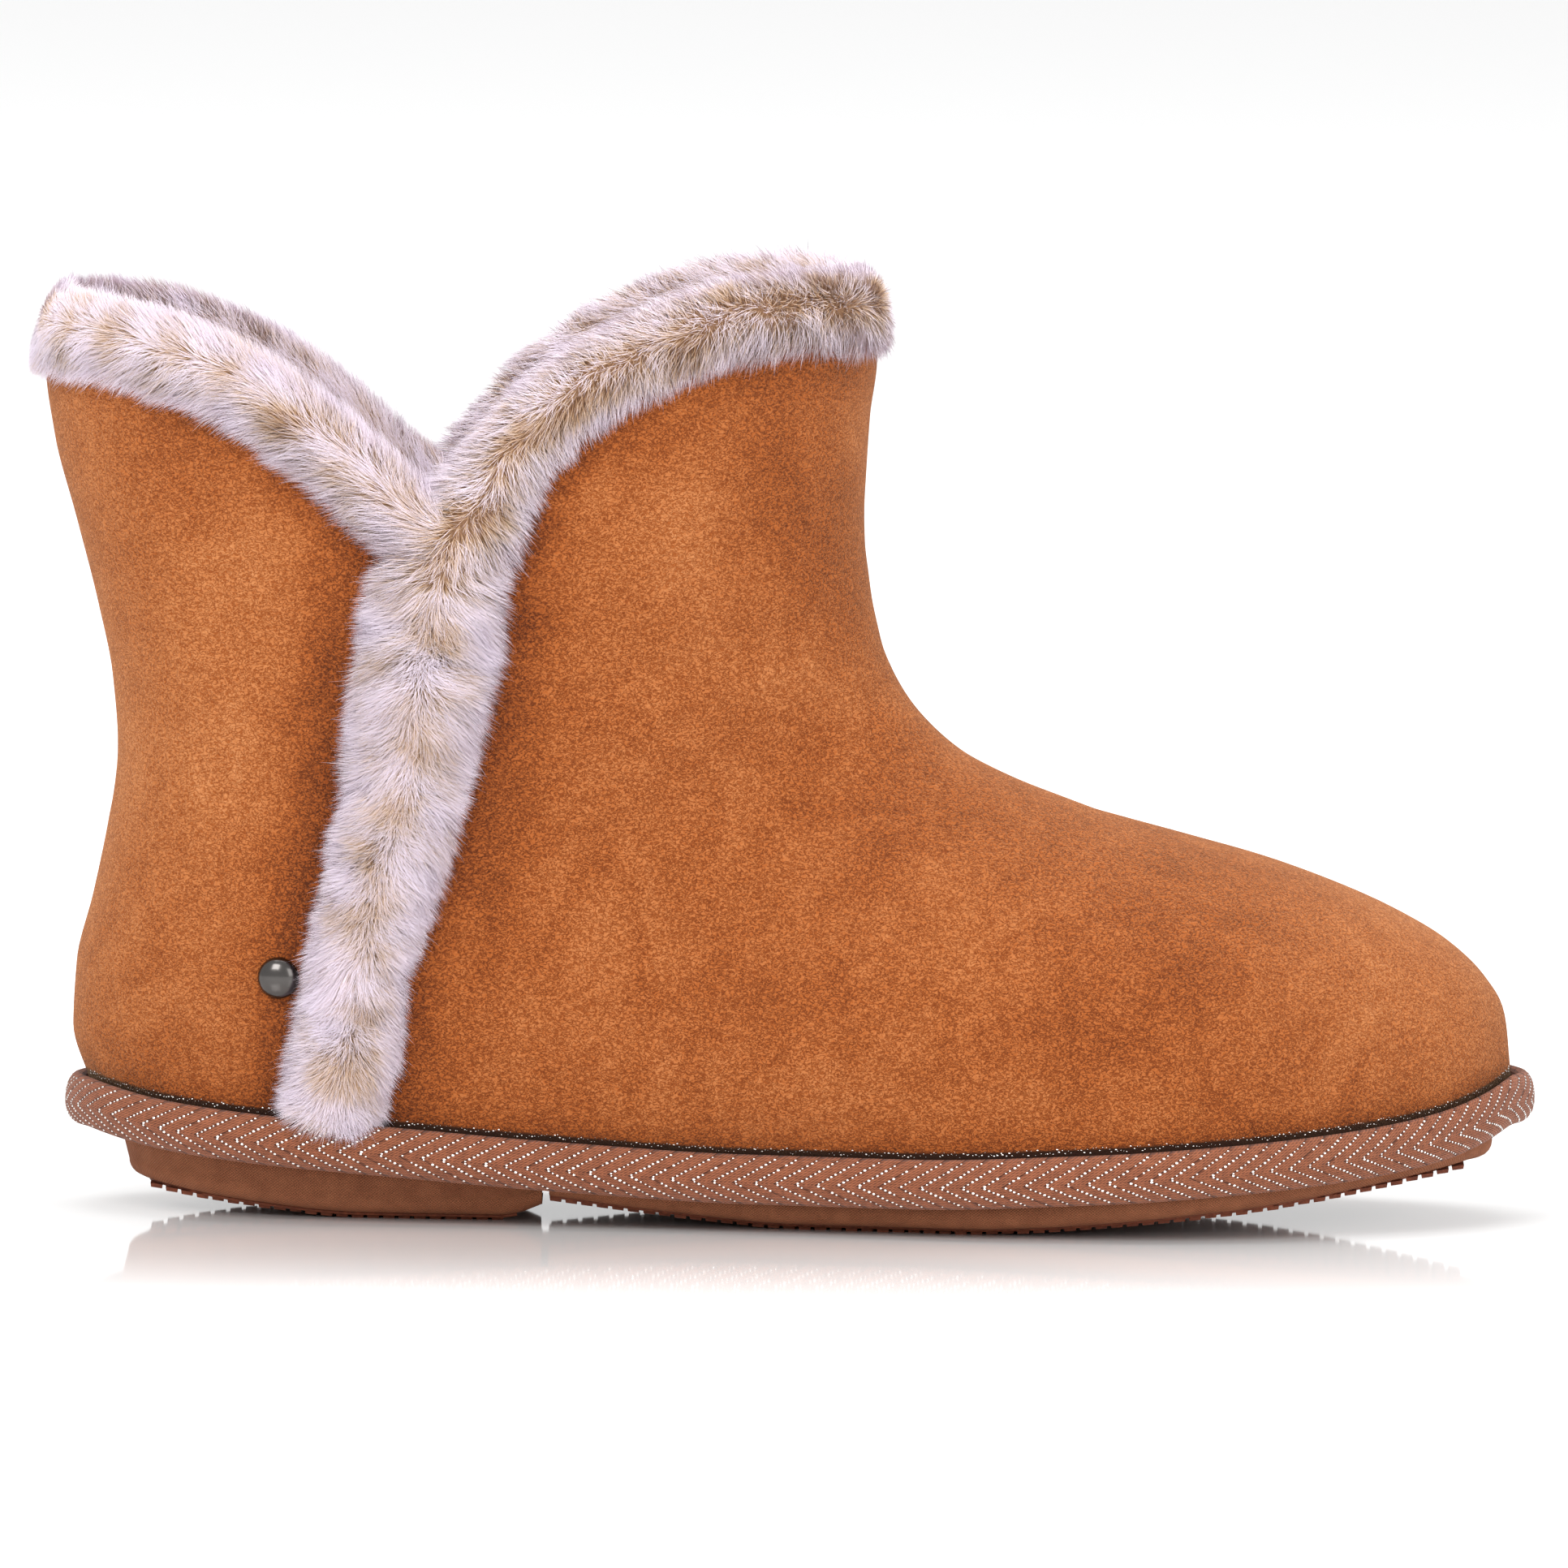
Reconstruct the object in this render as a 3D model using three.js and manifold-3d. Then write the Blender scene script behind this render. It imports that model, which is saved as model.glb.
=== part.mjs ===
// Bootie slipper, right shoe, millimetres.
// +X runs to the toe, +Z up, and -Y is the outer side of the foot.
// The origin is on the floor at the centre of the flat spot under the heel.

import * as THREE from 'three';
import { mergeVertices } from 'three/addons/utils/BufferGeometryUtils.js';
import Module from 'manifold-3d';

const weldDistance = 1e-4;
const wasm = await Module();
wasm.setup();

// Driving dimensions of the last
const footLength = 254.6;       // heel tip to toe tip along the featherline
const heelSetback = 61.5;       // heel tip behind the origin
const ballWidth = 86;           // featherline width at the ball
const instepHeight = 73;        // ridge height over the ball
const shaftRise = 99;           // instep height to the top of the last

// Upper and fur
const upperWall = 3;
const pieceGap = 0.3;           // between any two pieces
const cuffOverRim = 6.5;        // fur above the collar rim
const cuffBelowRim = 9;         // fur below the collar rim
const cuffOut = 4.5;            // fur outside the wall
const cuffIn = 4.5;             // fur inside the wall
const stripWidth = 20;
const stripPile = 5.5;
const cuffTuck = 1.8;           // rear cuff's ends in front of the notch, under the front band
const furEnd = 2.4;             // rounding of a strip's end
const furEndSize = 0.6;         // share of the section left at the end
const lockLength = 5.2;
const lockBreadth = 11;         // along the strip
const lockDepth = 5;
const lockRoot = 0.5;           // where a lock is rooted, share of the fur's depth
const lockPitch = 11;
const lockLean = 0.9;           // how far a lock leans along the strip
const lockTurn = 0.15;          // how far a lock turns round the strip, radians
const cuffLocks = [0.12, 0.36, 0.62, 0.86];  // half turns from the top of the collar to the outside
const stripLocks = [0.28, 0.5, 0.72];        // half turns from the back edge of the strip to the front

// Sole
const braidHeight = 8.9;
const braidOverhang = 4;        // braid beyond the featherline
const featherTuck = 1.2;        // upper edge below the crevice with the braid
const platformTuck = 2;         // platform bottom above the lower edge of the braid
const platformRound = 1;        // rounding of the platform's lower edge
const baseInset = 3.2;          // forefoot base inside the featherline
const canvasInset = 6;          // forefoot base inside the featherline at the bottom
const flankShare = 0.4;         // share of the forefoot flank that slopes in to the bottom
const wedgeInset = 6.5;         // heel wedge inside the featherline
const wedgeFoot = 3.5;          // slope of the wedge's side at the bottom
const wedgeRound = 1.5;
const wedgeFlare = 0.8;         // wedge wider at the top
const heelRestLength = 24;
const heelRaise = 4.2;          // heel bottom above the floor at its back edge
const heelBack = 52;            // where the heel bottom stops rising, behind the origin
const heelFront = 20;           // front of the heel wedge
const heelTreadFront = 15.5;
const heelTreadInset = 11;      // heel tread edge inside the featherline
const archLift = 4.2;           // forefoot bottom above the floor where it meets the heel wedge
const foreRestStart = 66;
const foreRestEnd = 94;
const toeSpring = 10;           // bottom above the floor at the toe end
const springShare = 0.97;       // where along the foot the toe spring ends
const treadThickness = 1.2;
const treadInset = 8;           // forefoot tread edge inside the featherline
const archGap = 1;              // heel wedge to forefoot tread
const footbedThickness = 5;
const footbedEase = 1.6;        // footbed edge to the inner face of the wall
const footbedRound = 1.5;
const footbedShoulder = 0.6;    // share of the footbed below its rounded edge

// Stud
const studDiameter = 7.5;
const studHeight = 2.4;

// Mesh fineness
const shaftRows = 9;
const footRows = 18;
const sectionColumns = 30;
const outlineSteps = 60;
const furSides = 8;
const stripSteps = 8;
const frontRimSteps = 14;
const rearRimSteps = 14;
const lockSides = 4;
const studSides = 20;

// Sections of the last. Each runs from the back or sole line to the front ridge.
// Backs and ridges are placed along the foot length and up: 1 is instepHeight, 2 the top of the last.
// half, lean: shares of half the ball width; wide: where the section is widest; full: superellipse exponent.
const shaftSections = [
  { backAlong: -0.012, backUp: 2.00, ridgeAlong: 0.530,
    ridgeUp: 2.000, half: 0.91, wide: 0.50, full: 2.30, lean: 0 },
  { backAlong: -0.037, backUp: 1.80, ridgeAlong: 0.547,
    ridgeUp: 1.823, half: 0.91, wide: 0.50, full: 2.30, lean: 0 },
  { backAlong: -0.030, backUp: 1.66, ridgeAlong: 0.542,
    ridgeUp: 1.712, half: 0.89, wide: 0.50, full: 2.30, lean: 0 },
  { backAlong: -0.014, backUp: 1.51, ridgeAlong: 0.540,
    ridgeUp: 1.626, half: 0.87, wide: 0.49, full: 2.30, lean: 0 },
  { backAlong: 0.002, backUp: 1.355, ridgeAlong: 0.539,
    ridgeUp: 1.550, half: 0.85, wide: 0.48, full: 2.25, lean: 0 },
  { backAlong: 0.013, backUp: 1.22, ridgeAlong: 0.540,
    ridgeUp: 1.485, half: 0.83, wide: 0.47, full: 2.25, lean: 0 },
  { backAlong: 0.017, backUp: 1.09, ridgeAlong: 0.543,
    ridgeUp: 1.429, half: 0.82, wide: 0.46, full: 2.20, lean: 0 },
  { backAlong: 0.011, backUp: 0.945, ridgeAlong: 0.546,
    ridgeUp: 1.379, half: 0.81, wide: 0.45, full: 2.20, lean: 0.01 },
  { backAlong: 0.001, backUp: 0.767, ridgeAlong: 0.550,
    ridgeUp: 1.333, half: 0.81, wide: 0.43, full: 2.20, lean: 0.01 },
  { backAlong: -0.010, backUp: 0.603, ridgeAlong: 0.554,
    ridgeUp: 1.293, half: 0.81, wide: 0.41, full: 2.20, lean: 0.02 },
  { backAlong: -0.012, backUp: 0.452, ridgeAlong: 0.560,
    ridgeUp: 1.256, half: 0.81, wide: 0.39, full: 2.15, lean: 0.02 },
  { backAlong: 0.000, backUp: 0.320, ridgeAlong: 0.567,
    ridgeUp: 1.222, half: 0.81, wide: 0.37, full: 2.15, lean: 0.03 },
];

// Foot sections start on the featherline. hug: 1 where the side follows the sole outline.
const footSections = [
  { soleAlong: 0.065, ridgeAlong: 0.576, ridgeUp: 1.188,
    half: 0.81, wide: 0.35, full: 2.15, lean: 0.03, hug: 0 },
  { soleAlong: 0.183, ridgeAlong: 0.589, ridgeUp: 1.151,
    half: 0.81, wide: 0.33, full: 2.10, lean: 0.04, hug: 0 },
  { soleAlong: 0.321, ridgeAlong: 0.611, ridgeUp: 1.104,
    half: 0.85, wide: 0.32, full: 2.05, lean: 0.06, hug: 0 },
  { soleAlong: 0.440, ridgeAlong: 0.645, ridgeUp: 1.059,
    half: 0.93, wide: 0.31, full: 2.00, lean: 0.08, hug: 0 },
  { soleAlong: 0.550, ridgeAlong: 0.686, ridgeUp: 1.018,
    half: 1.00, wide: 0.30, full: 2.00, lean: 0.10, hug: 0.3 },
  { soleAlong: 0.637, ridgeAlong: 0.726, ridgeUp: 0.981,
    half: 1.03, wide: 0.29, full: 2.00, lean: 0.11, hug: 0.7 },
  { soleAlong: 0.716, ridgeAlong: 0.769, ridgeUp: 0.941,
    half: 1.01, wide: 0.28, full: 2.05, lean: 0.11, hug: 1 },
  { soleAlong: 0.795, ridgeAlong: 0.817, ridgeUp: 0.893,
    half: 0.95, wide: 0.27, full: 2.10, lean: 0.10, hug: 1 },
  { soleAlong: 0.858, ridgeAlong: 0.862, ridgeUp: 0.838,
    half: 0.85, wide: 0.26, full: 2.15, lean: 0.08, hug: 1 },
  { soleAlong: 0.913, ridgeAlong: 0.913, ridgeUp: 0.764,
    half: 0.70, wide: 0.25, full: 2.20, lean: 0.06, hug: 1 },
  { soleAlong: 0.953, ridgeAlong: 0.953, ridgeUp: 0.685,
    half: 0.50, wide: 0.25, full: 2.20, lean: 0.04, hug: 1 },
  { soleAlong: 0.980, ridgeAlong: 0.980, ridgeUp: 0.596,
    half: 0.30, wide: 0.25, full: 2.20, lean: 0.02, hug: 1 },
  { soleAlong: 0.994, ridgeAlong: 0.994, ridgeUp: 0.510,
    half: 0.15, wide: 0.25, full: 2.20, lean: 0.01, hug: 1 },
  { soleAlong: 1.000, ridgeAlong: 1.000, ridgeUp: 0.355,
    half: 0.00, wide: 0.25, full: 2.20, lean: 0, hug: 1 },
];

// Sole outline on the featherline: half widths as shares of half the ball width.
const soleOutline = [
  { along: 0.000, outer: 0.000, inner: 0.000 },
  { along: 0.010, outer: 0.235, inner: 0.235 },
  { along: 0.035, outer: 0.430, inner: 0.425 },
  { along: 0.080, outer: 0.600, inner: 0.590 },
  { along: 0.150, outer: 0.700, inner: 0.680 },
  { along: 0.250, outer: 0.745, inner: 0.690 },
  { along: 0.350, outer: 0.775, inner: 0.665 },
  { along: 0.450, outer: 0.840, inner: 0.690 },
  { along: 0.550, outer: 0.930, inner: 0.800 },
  { along: 0.640, outer: 1.005, inner: 0.925 },
  { along: 0.720, outer: 1.000, inner: 0.995 },
  { along: 0.790, outer: 0.920, inner: 1.005 },
  { along: 0.860, outer: 0.750, inner: 0.955 },
  { along: 0.920, outer: 0.520, inner: 0.840 },
  { along: 0.965, outer: 0.270, inner: 0.665 },
  { along: 0.990, outer: 0.030, inner: 0.455 },
  { along: 1.000, outer: -0.200, inner: 0.200 },
];

// Crevice between upper and braid, up in shares of the instep height.
const creviceLine = [
  { along: 0.00, up: 0.325 },
  { along: 0.05, up: 0.292 },
  { along: 0.12, up: 0.266 },
  { along: 0.22, up: 0.241 },
  { along: 0.34, up: 0.212 },
  { along: 0.46, up: 0.195 },
  { along: 0.57, up: 0.194 },
  { along: 0.68, up: 0.208 },
  { along: 0.80, up: 0.234 },
  { along: 0.90, up: 0.267 },
  { along: 0.95, up: 0.297 },
  { along: 0.98, up: 0.331 },
  { along: 1.00, up: 0.366 },
];

// Collar rim with its V notch, the same on both sides, up in shares of the shaft rise above the instep.
const collarRim = [
  { along: -0.042, up: 0.868 },
  { along: 0.030, up: 0.848 },
  { along: 0.096, up: 0.792 },
  { along: 0.145, up: 0.716 },
  { along: 0.190, up: 0.622 },
  { along: 0.222, up: 0.552 },
  { along: 0.244, up: 0.522 },
  { along: 0.264, up: 0.572 },
  { along: 0.303, up: 0.718 },
  { along: 0.371, up: 0.841 },
  { along: 0.439, up: 0.908 },
  { along: 0.486, up: 0.926 },
  { along: 0.552, up: 0.908 },
];

// Middle of the fur strip on each side, from the braid up to the notch; up in shares of the instep height.
const stripLine = [
  { along: 0.172, up: 0.282 },
  { along: 0.178, up: 0.392 },
  { along: 0.189, up: 0.612 },
  { along: 0.200, up: 0.774 },
  { along: 0.218, up: 1.000 },
  { along: 0.227, up: 1.155 },
  { along: 0.244, up: 1.421 },
  { along: 0.258, up: 1.530 },
];

const studAlong = 0.134;
const studUp = 0.604;

// Domed stud, from the edge of its base to the top: shares of radius and height.
const studProfile = [
  { out: 1.00, up: 0.25 },
  { out: 0.90, up: 0.62 },
  { out: 0.62, up: 0.88 },
  { out: 0.30, up: 0.98 },
  { out: 0.00, up: 1.00 },
];

const halfBall = ballWidth / 2;
const heelX = -heelSetback;
const toeX = heelX + footLength;
const alongX = (share) => heelX + footLength * share;
const shareOf = (x) => (x - heelX) / footLength;
const heightOf = (up) => (up <= 1 ? up * instepHeight : instepHeight + (up - 1) * shaftRise);

// A smooth curve through the rows of a table, without overshoot between them.
function smoothTable(keys, values) {
  const last = keys.length - 1;
  const slopes = keys.map((key, i) => (i < last ? (values[i + 1] - values[i]) / (keys[i + 1] - key) : 0));
  const tangents = keys.map((key, i) => {
    if (i === 0) return slopes[0];
    if (i === last) return slopes[last - 1];
    if (slopes[i - 1] * slopes[i] <= 0) return 0;
    const before = keys[i] - keys[i - 1];
    const after = keys[i + 1] - keys[i];
    const weightA = 2 * after + before;
    const weightB = after + 2 * before;
    return (weightA + weightB) / (weightA / slopes[i - 1] + weightB / slopes[i]);
  });
  return (key) => {
    const k = THREE.MathUtils.clamp(key, keys[0], keys[last]);
    let i = 0;
    while (i < last - 1 && k > keys[i + 1]) i += 1;
    const span = keys[i + 1] - keys[i];
    const f = (k - keys[i]) / span;
    const f2 = f * f;
    const f3 = f2 * f;
    return (2 * f3 - 3 * f2 + 1) * values[i] + (f3 - 2 * f2 + f) * span * tangents[i]
      + (3 * f2 - 2 * f3) * values[i + 1] + (f3 - f2) * span * tangents[i + 1];
  };
}

const column = (rows, name) => rows.map((row) => row[name]);
const tableCurve = (rows, keyName, valueName) => smoothTable(column(rows, keyName), column(rows, valueName));
const indexCurve = (rows, valueName) => smoothTable(rows.map((row, i) => i), column(rows, valueName));

const creviceUp = tableCurve(creviceLine, 'along', 'up');
const creviceZ = (x) => instepHeight * creviceUp(shareOf(x));
const featherZ = (x) => creviceZ(x) - featherTuck;

// Half widths run against the arc of each end, so that heel and toe close round.
const roundness = (share) => Math.acos(1 - 2 * THREE.MathUtils.clamp(share, 0, 1));
const outlineKeys = soleOutline.map((row) => roundness(row.along));
const outerShare = smoothTable(outlineKeys, column(soleOutline, 'outer'));
const innerShare = smoothTable(outlineKeys, column(soleOutline, 'inner'));
const outerY = (x) => -halfBall * outerShare(roundness(shareOf(x)));
const innerY = (x) => halfBall * innerShare(roundness(shareOf(x)));
const soleCentre = (x) => (outerY(x) + innerY(x)) / 2;
const soleHalf = (x) => (innerY(x) - outerY(x)) / 2;

// The last: section t runs 0 at the top, heelRow at the heel tip, and lastRow at the toe tip.
const heelRow = shaftSections.length - 1;
const allSections = [...shaftSections, ...footSections];
const lastRow = allSections.length - 1;
const backAlongAt = indexCurve(shaftSections, 'backAlong');
const backUpAt = indexCurve(shaftSections, 'backUp');
const soleAlongAt = indexCurve([{ soleAlong: 0 }, ...footSections], 'soleAlong');
const ridgeAlongAt = indexCurve(allSections, 'ridgeAlong');
const ridgeUpAt = indexCurve(allSections, 'ridgeUp');
const halfAt = indexCurve(allSections, 'half');
const wideAt = indexCurve(allSections, 'wide');
const fullAt = indexCurve(allSections, 'full');
const leanAt = indexCurve(allSections, 'lean');
const hugAt = indexCurve(allSections.map((row) => ({ hug: row.hug ?? 0 })), 'hug');
const searchSteps = 40;         // halvings when a place on the last is looked up
const toeSwell = 0.02;          // side beyond the featherline at the toe, share of half the ball width
const heelCrowding = 1.4;       // draws the foot sections together at the heel
const lowerPart = 0.34;         // share of a side's columns below the widest point

function section(t) {
  const onShaft = t <= heelRow;
  const soleX = onShaft ? heelX : alongX(soleAlongAt(t - heelRow));
  const backZ = heightOf(backUpAt(Math.min(t, heelRow)));
  const heelDrop = featherZ(heelX) - heightOf(backUpAt(heelRow));
  const settle = onShaft ? Math.pow(t / heelRow, 8) : 1;
  const back = onShaft
    ? new THREE.Vector2(alongX(backAlongAt(t)), backZ + heelDrop * settle)
    : new THREE.Vector2(soleX, featherZ(soleX));
  const ridge = new THREE.Vector2(alongX(ridgeAlongAt(t)), heightOf(ridgeUpAt(t)));
  const tip = t >= lastRow;
  if (tip) ridge.set(toeX, featherZ(toeX));
  const base = onShaft ? 0 : soleHalf(soleX);
  const free = halfBall * halfAt(t);
  const hugged = base + halfBall * toeSwell * Math.min(1, (lastRow - t) / 2);
  const half = Math.max(THREE.MathUtils.lerp(free, hugged, hugAt(t)), base);
  const centre = onShaft ? 0 : soleCentre(soleX);
  return { back, ridge, base, half, centre, wide: wideAt(t), full: fullAt(t), lean: halfBall * leanAt(t) };
}

// Half width and place along the section line of a point, q from 0 at the base to 1 on the ridge.
function sidePoint(sec, q) {
  const power = 2 / sec.full;
  if (q < lowerPart) {
    const angle = (q / lowerPart) * Math.PI / 2;
    const grounded = sec.half > 0 ? sec.base / sec.half : 1;
    const round = 1 - Math.pow(Math.cos(angle), power);
    const straight = q / lowerPart;
    return {
      half: sec.base + (sec.half - sec.base) * Math.pow(Math.sin(angle), power),
      share: sec.wide * THREE.MathUtils.lerp(round, straight, grounded),
    };
  }
  const angle = ((q - lowerPart) / (1 - lowerPart)) * Math.PI / 2;
  return {
    half: q >= 1 ? 0 : sec.half * Math.pow(Math.cos(angle), power),
    share: sec.wide + (1 - sec.wide) * Math.pow(Math.sin(angle), power),
  };
}

// A point of the last: s is -1 at the outer base, 0 on the ridge and 1 at the inner base.
function lastPoint(t, s) {
  const sec = section(t);
  const p = sidePoint(sec, 1 - Math.abs(s));
  const x = THREE.MathUtils.lerp(sec.back.x, sec.ridge.x, p.share);
  const z = THREE.MathUtils.lerp(sec.back.y, sec.ridge.y, p.share);
  const y = sec.centre + sec.lean * p.share + Math.sign(s) * p.half;
  return new THREE.Vector3(x, y, z);
}

const rimUp = tableCurve(collarRim, 'along', 'up');
const rimZ = (x) => instepHeight + shaftRise * rimUp(shareOf(x));

// The section at which side s of the last passes through the collar rim, lifted by rise.
function rimRow(s, rise) {
  let high = 0;
  let low = heelRow;
  for (let i = 0; i < searchSteps; i += 1) {
    const mid = (high + low) / 2;
    const point = lastPoint(mid, s);
    if (point.z > rimZ(point.x) + rise) high = mid;
    else low = mid;
  }
  return (high + low) / 2;
}

// The section and side value of the point of the last seen at x, z from the side.
function findOnLast(x, z, side) {
  let high = 0;
  let low = lastRow;
  const target = new THREE.Vector2(x, z);
  for (let i = 0; i < searchSteps; i += 1) {
    const mid = (high + low) / 2;
    const sec = section(mid);
    const line = sec.ridge.clone().sub(sec.back);
    const offset = target.clone().sub(sec.back);
    if (line.cross(offset) < 0) high = mid;
    else low = mid;
  }
  const t = (high + low) / 2;
  const sec = section(t);
  const line = sec.ridge.clone().sub(sec.back);
  const share = target.clone().sub(sec.back).dot(line) / line.lengthSq();
  let below = 0;
  let above = 1;
  for (let i = 0; i < searchSteps; i += 1) {
    const mid = (below + above) / 2;
    if (sidePoint(sec, mid).share < share) below = mid;
    else above = mid;
  }
  return { t, s: side * (1 - (below + above) / 2) };
}

function lastNormal(t, s) {
  const step = 0.02;
  const lower = Math.max(0, t - step);
  const upper = Math.min(lastRow - 0.01, t + step);
  const alongT = lastPoint(upper, s).sub(lastPoint(lower, s));
  const alongS = lastPoint(t, Math.min(1, s + step)).sub(lastPoint(t, Math.max(-1, s - step)));
  return alongT.cross(alongS).normalize();
}

// Solids from loops and grids
function meshSolid(points, triangles) {
  const geometry = new THREE.BufferGeometry();
  const positions = points.flatMap((p) => [p.x, p.y, p.z]);
  geometry.setAttribute('position', new THREE.Float32BufferAttribute(positions, 3));
  geometry.setIndex(triangles);
  return toManifold(geometry);
}

function toManifold(geometry) {
  const bare = geometry.clone();
  bare.deleteAttribute('normal');
  bare.deleteAttribute('uv');
  const merged = mergeVertices(bare, weldDistance);
  const index = merged.index.array;
  const kept = [];
  for (let i = 0; i < index.length; i += 3) {
    const [a, b, c] = [index[i], index[i + 1], index[i + 2]];
    if (a !== b && b !== c && c !== a) kept.push(a, b, c);
  }
  const vertProperties = new Float32Array(merged.attributes.position.array);
  return new wasm.Manifold(new wasm.Mesh({ numProp: 3, vertProperties, triVerts: new Uint32Array(kept) }));
}

function toGeometry(solid) {
  const mesh = solid.getMesh();
  const geometry = new THREE.BufferGeometry();
  geometry.setAttribute('position', new THREE.BufferAttribute(new Float32Array(mesh.vertProperties), 3));
  geometry.setIndex(new THREE.BufferAttribute(new Uint32Array(mesh.triVerts), 1));
  return geometry;
}

// Closed solid from equal loops of points, stacked; loops close on themselves and the ends are capped.
// closed joins the last loop to the first instead.
function loftLoops(loops, closed, cap) {
  const count = loops[0].length;
  const points = loops.flat();
  const triangles = [];
  const quad = (a, b, c, d) => triangles.push(a, b, c, a, c, d);
  const rows = closed ? loops.length : loops.length - 1;
  for (let r = 0; r < rows; r += 1) {
    const next = (r + 1) % loops.length;
    for (let c = 0; c < count; c += 1) {
      const d = (c + 1) % count;
      quad(r * count + c, r * count + d, next * count + d, next * count + c);
    }
  }
  if (!closed) {
    cap(0).forEach(([a, b, c]) => triangles.push(a, c, b));
    const top = (loops.length - 1) * count;
    cap(top).forEach(([a, b, c]) => triangles.push(a, b, c));
  }
  return meshSolid(points, triangles);
}

// A cap between the two sides of an outline loop, whose point i faces the i-th from its end.
const ladderCap = (count) => (start) => {
  const faces = [];
  for (let i = 0; i < count / 2 - 1; i += 1) {
    const [a, b] = [start + i, start + i + 1];
    const [c, d] = [start + count - 2 - i, start + count - 1 - i];
    faces.push([a, b, c], [a, c, d]);
  }
  return faces;
};

const fanCap = (count) => (start) => {
  const faces = [];
  for (let i = 1; i < count - 1; i += 1) faces.push([start, start + i, start + i + 1]);
  return faces;
};

// Hollow upper between its outer face, grown by grow, and its inner face.
function upperSolid(grow) {
  const rows = [];
  const half = sectionColumns / 2;
  for (let r = 0; r <= shaftRows + footRows; r += 1) {
    const line = [];
    for (let c = 0; c <= sectionColumns; c += 1) {
      const s = (c - half) / half;
      const top = rimRow(s, grow);
      const f = (r - shaftRows) / footRows;
      const t = r <= shaftRows
        ? THREE.MathUtils.lerp(top, heelRow, r / shaftRows)
        : THREE.MathUtils.lerp(heelRow, lastRow, Math.pow(f, heelCrowding));
      line.push(lastPoint(t, s));
    }
    rows.push(line);
  }
  const width = sectionColumns + 1;
  const outer = rows.flat();
  const surface = [];
  for (let r = 0; r < rows.length - 1; r += 1) {
    for (let c = 0; c < sectionColumns; c += 1) {
      const a = r * width + c;
      surface.push([a, a + width, a + width + 1], [a, a + width + 1, a + 1]);
    }
  }
  const normals = outer.map(() => new THREE.Vector3());
  surface.forEach(([a, b, c]) => {
    const face = outer[b].clone().sub(outer[a]).cross(outer[c].clone().sub(outer[a]));
    [a, b, c].forEach((i) => normals[i].add(face));
  });
  const shareNormal = (list) => {
    const sum = new THREE.Vector3();
    list.forEach((i) => sum.add(normals[i]));
    list.forEach((i) => normals[i].copy(sum));
  };
  for (let r = 0; r <= shaftRows; r += 1) shareNormal([r * width, r * width + sectionColumns]);
  const tipStart = (rows.length - 1) * width;
  shareNormal(Array.from({ length: width }, (unused, c) => tipStart + c));
  const skins = [grow, -(upperWall + grow)].map((offset) => outer.map((point, i) => {
    const moved = point.clone().addScaledVector(normals[i].clone().normalize(), offset);
    const row = Math.floor(i / width);
    const atSide = i % width === 0 || i % width === sectionColumns;
    const atEdge = row >= shaftRows && (atSide || row === rows.length - 1);
    if (atEdge) moved.z = featherZ(point.x) - grow;
    return moved;
  }));
  const points = [...skins[0], ...skins[1]];
  const inside = outer.length;
  const triangles = [];
  surface.forEach(([a, b, c]) => {
    triangles.push(a, b, c);
    triangles.push(inside + a, inside + c, inside + b);
  });
  const edge = (a, b) => triangles.push(a, b, inside + b, a, inside + b, inside + a);
  for (let c = 0; c < sectionColumns; c += 1) edge(c, c + 1);
  for (let r = shaftRows; r < rows.length - 1; r += 1) {
    edge((r + 1) * width, r * width);
    edge(r * width + sectionColumns, (r + 1) * width + sectionColumns);
  }
  return meshSolid(points, triangles);
}

// A loop round the sole outline between two places, moved outward by offset; height gives z from x.
function outlineLoop(offset, height, from, to) {
  const start = roundness(shareOf(from));
  const end = roundness(shareOf(to));
  const half = outlineSteps / 2;
  const point = (i, edge) => {
    const x = heelX + footLength * (1 - Math.cos(THREE.MathUtils.lerp(start, end, i / half))) / 2;
    return new THREE.Vector3(x, edge(x), 0);
  };
  const neighbour = (i, edge, other) => {
    if (i < 0 && from === heelX) return point(-i, other);
    if (i > half && to === toeX) return point(2 * half - i, other);
    return point(i, edge);
  };
  const moved = (i, edge, other, turn) => {
    const run = neighbour(i + 1, edge, other).sub(neighbour(i - 1, edge, other));
    const here = point(i, edge);
    const outward = new THREE.Vector3(run.y, -run.x, 0).normalize();
    const shifted = here.clone().addScaledVector(outward, offset * turn);
    if (from !== heelX) shifted.x = Math.max(shifted.x, from);
    if (to !== toeX) shifted.x = Math.min(shifted.x, to);
    shifted.z = height(shifted.x);
    return shifted;
  };
  const steps = Array.from({ length: half + 1 }, (unused, i) => i);
  const outer = steps.map((i) => moved(i, outerY, innerY, 1));
  const inner = steps.map((i) => moved(i, innerY, outerY, -1));
  return [...outer, ...inner.reverse()];
}

// Rolled braid round the edge of the platform: levels from the inner bottom round to the inner top.
const braidSection = [
  { out: 0.00, up: 0.08 },
  { out: 0.35, up: 0.00 },
  { out: 0.80, up: 0.12 },
  { out: 1.00, up: 0.38 },
  { out: 0.98, up: 0.62 },
  { out: 0.78, up: 0.86 },
  { out: 0.50, up: 1.00 },
  { out: 0.22, up: 0.92 },
];

function braidSolid(grow) {
  const loops = braidSection.map((row) => {
    const offset = pieceGap + row.out * braidOverhang + (2 * row.out - 1) * grow;
    const rise = braidHeight * (row.up - 1) + (2 * row.up - 1) * grow;
    return outlineLoop(offset, (x) => creviceZ(x) + rise, heelX, toeX);
  });
  return loftLoops(loops, true);
}

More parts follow.
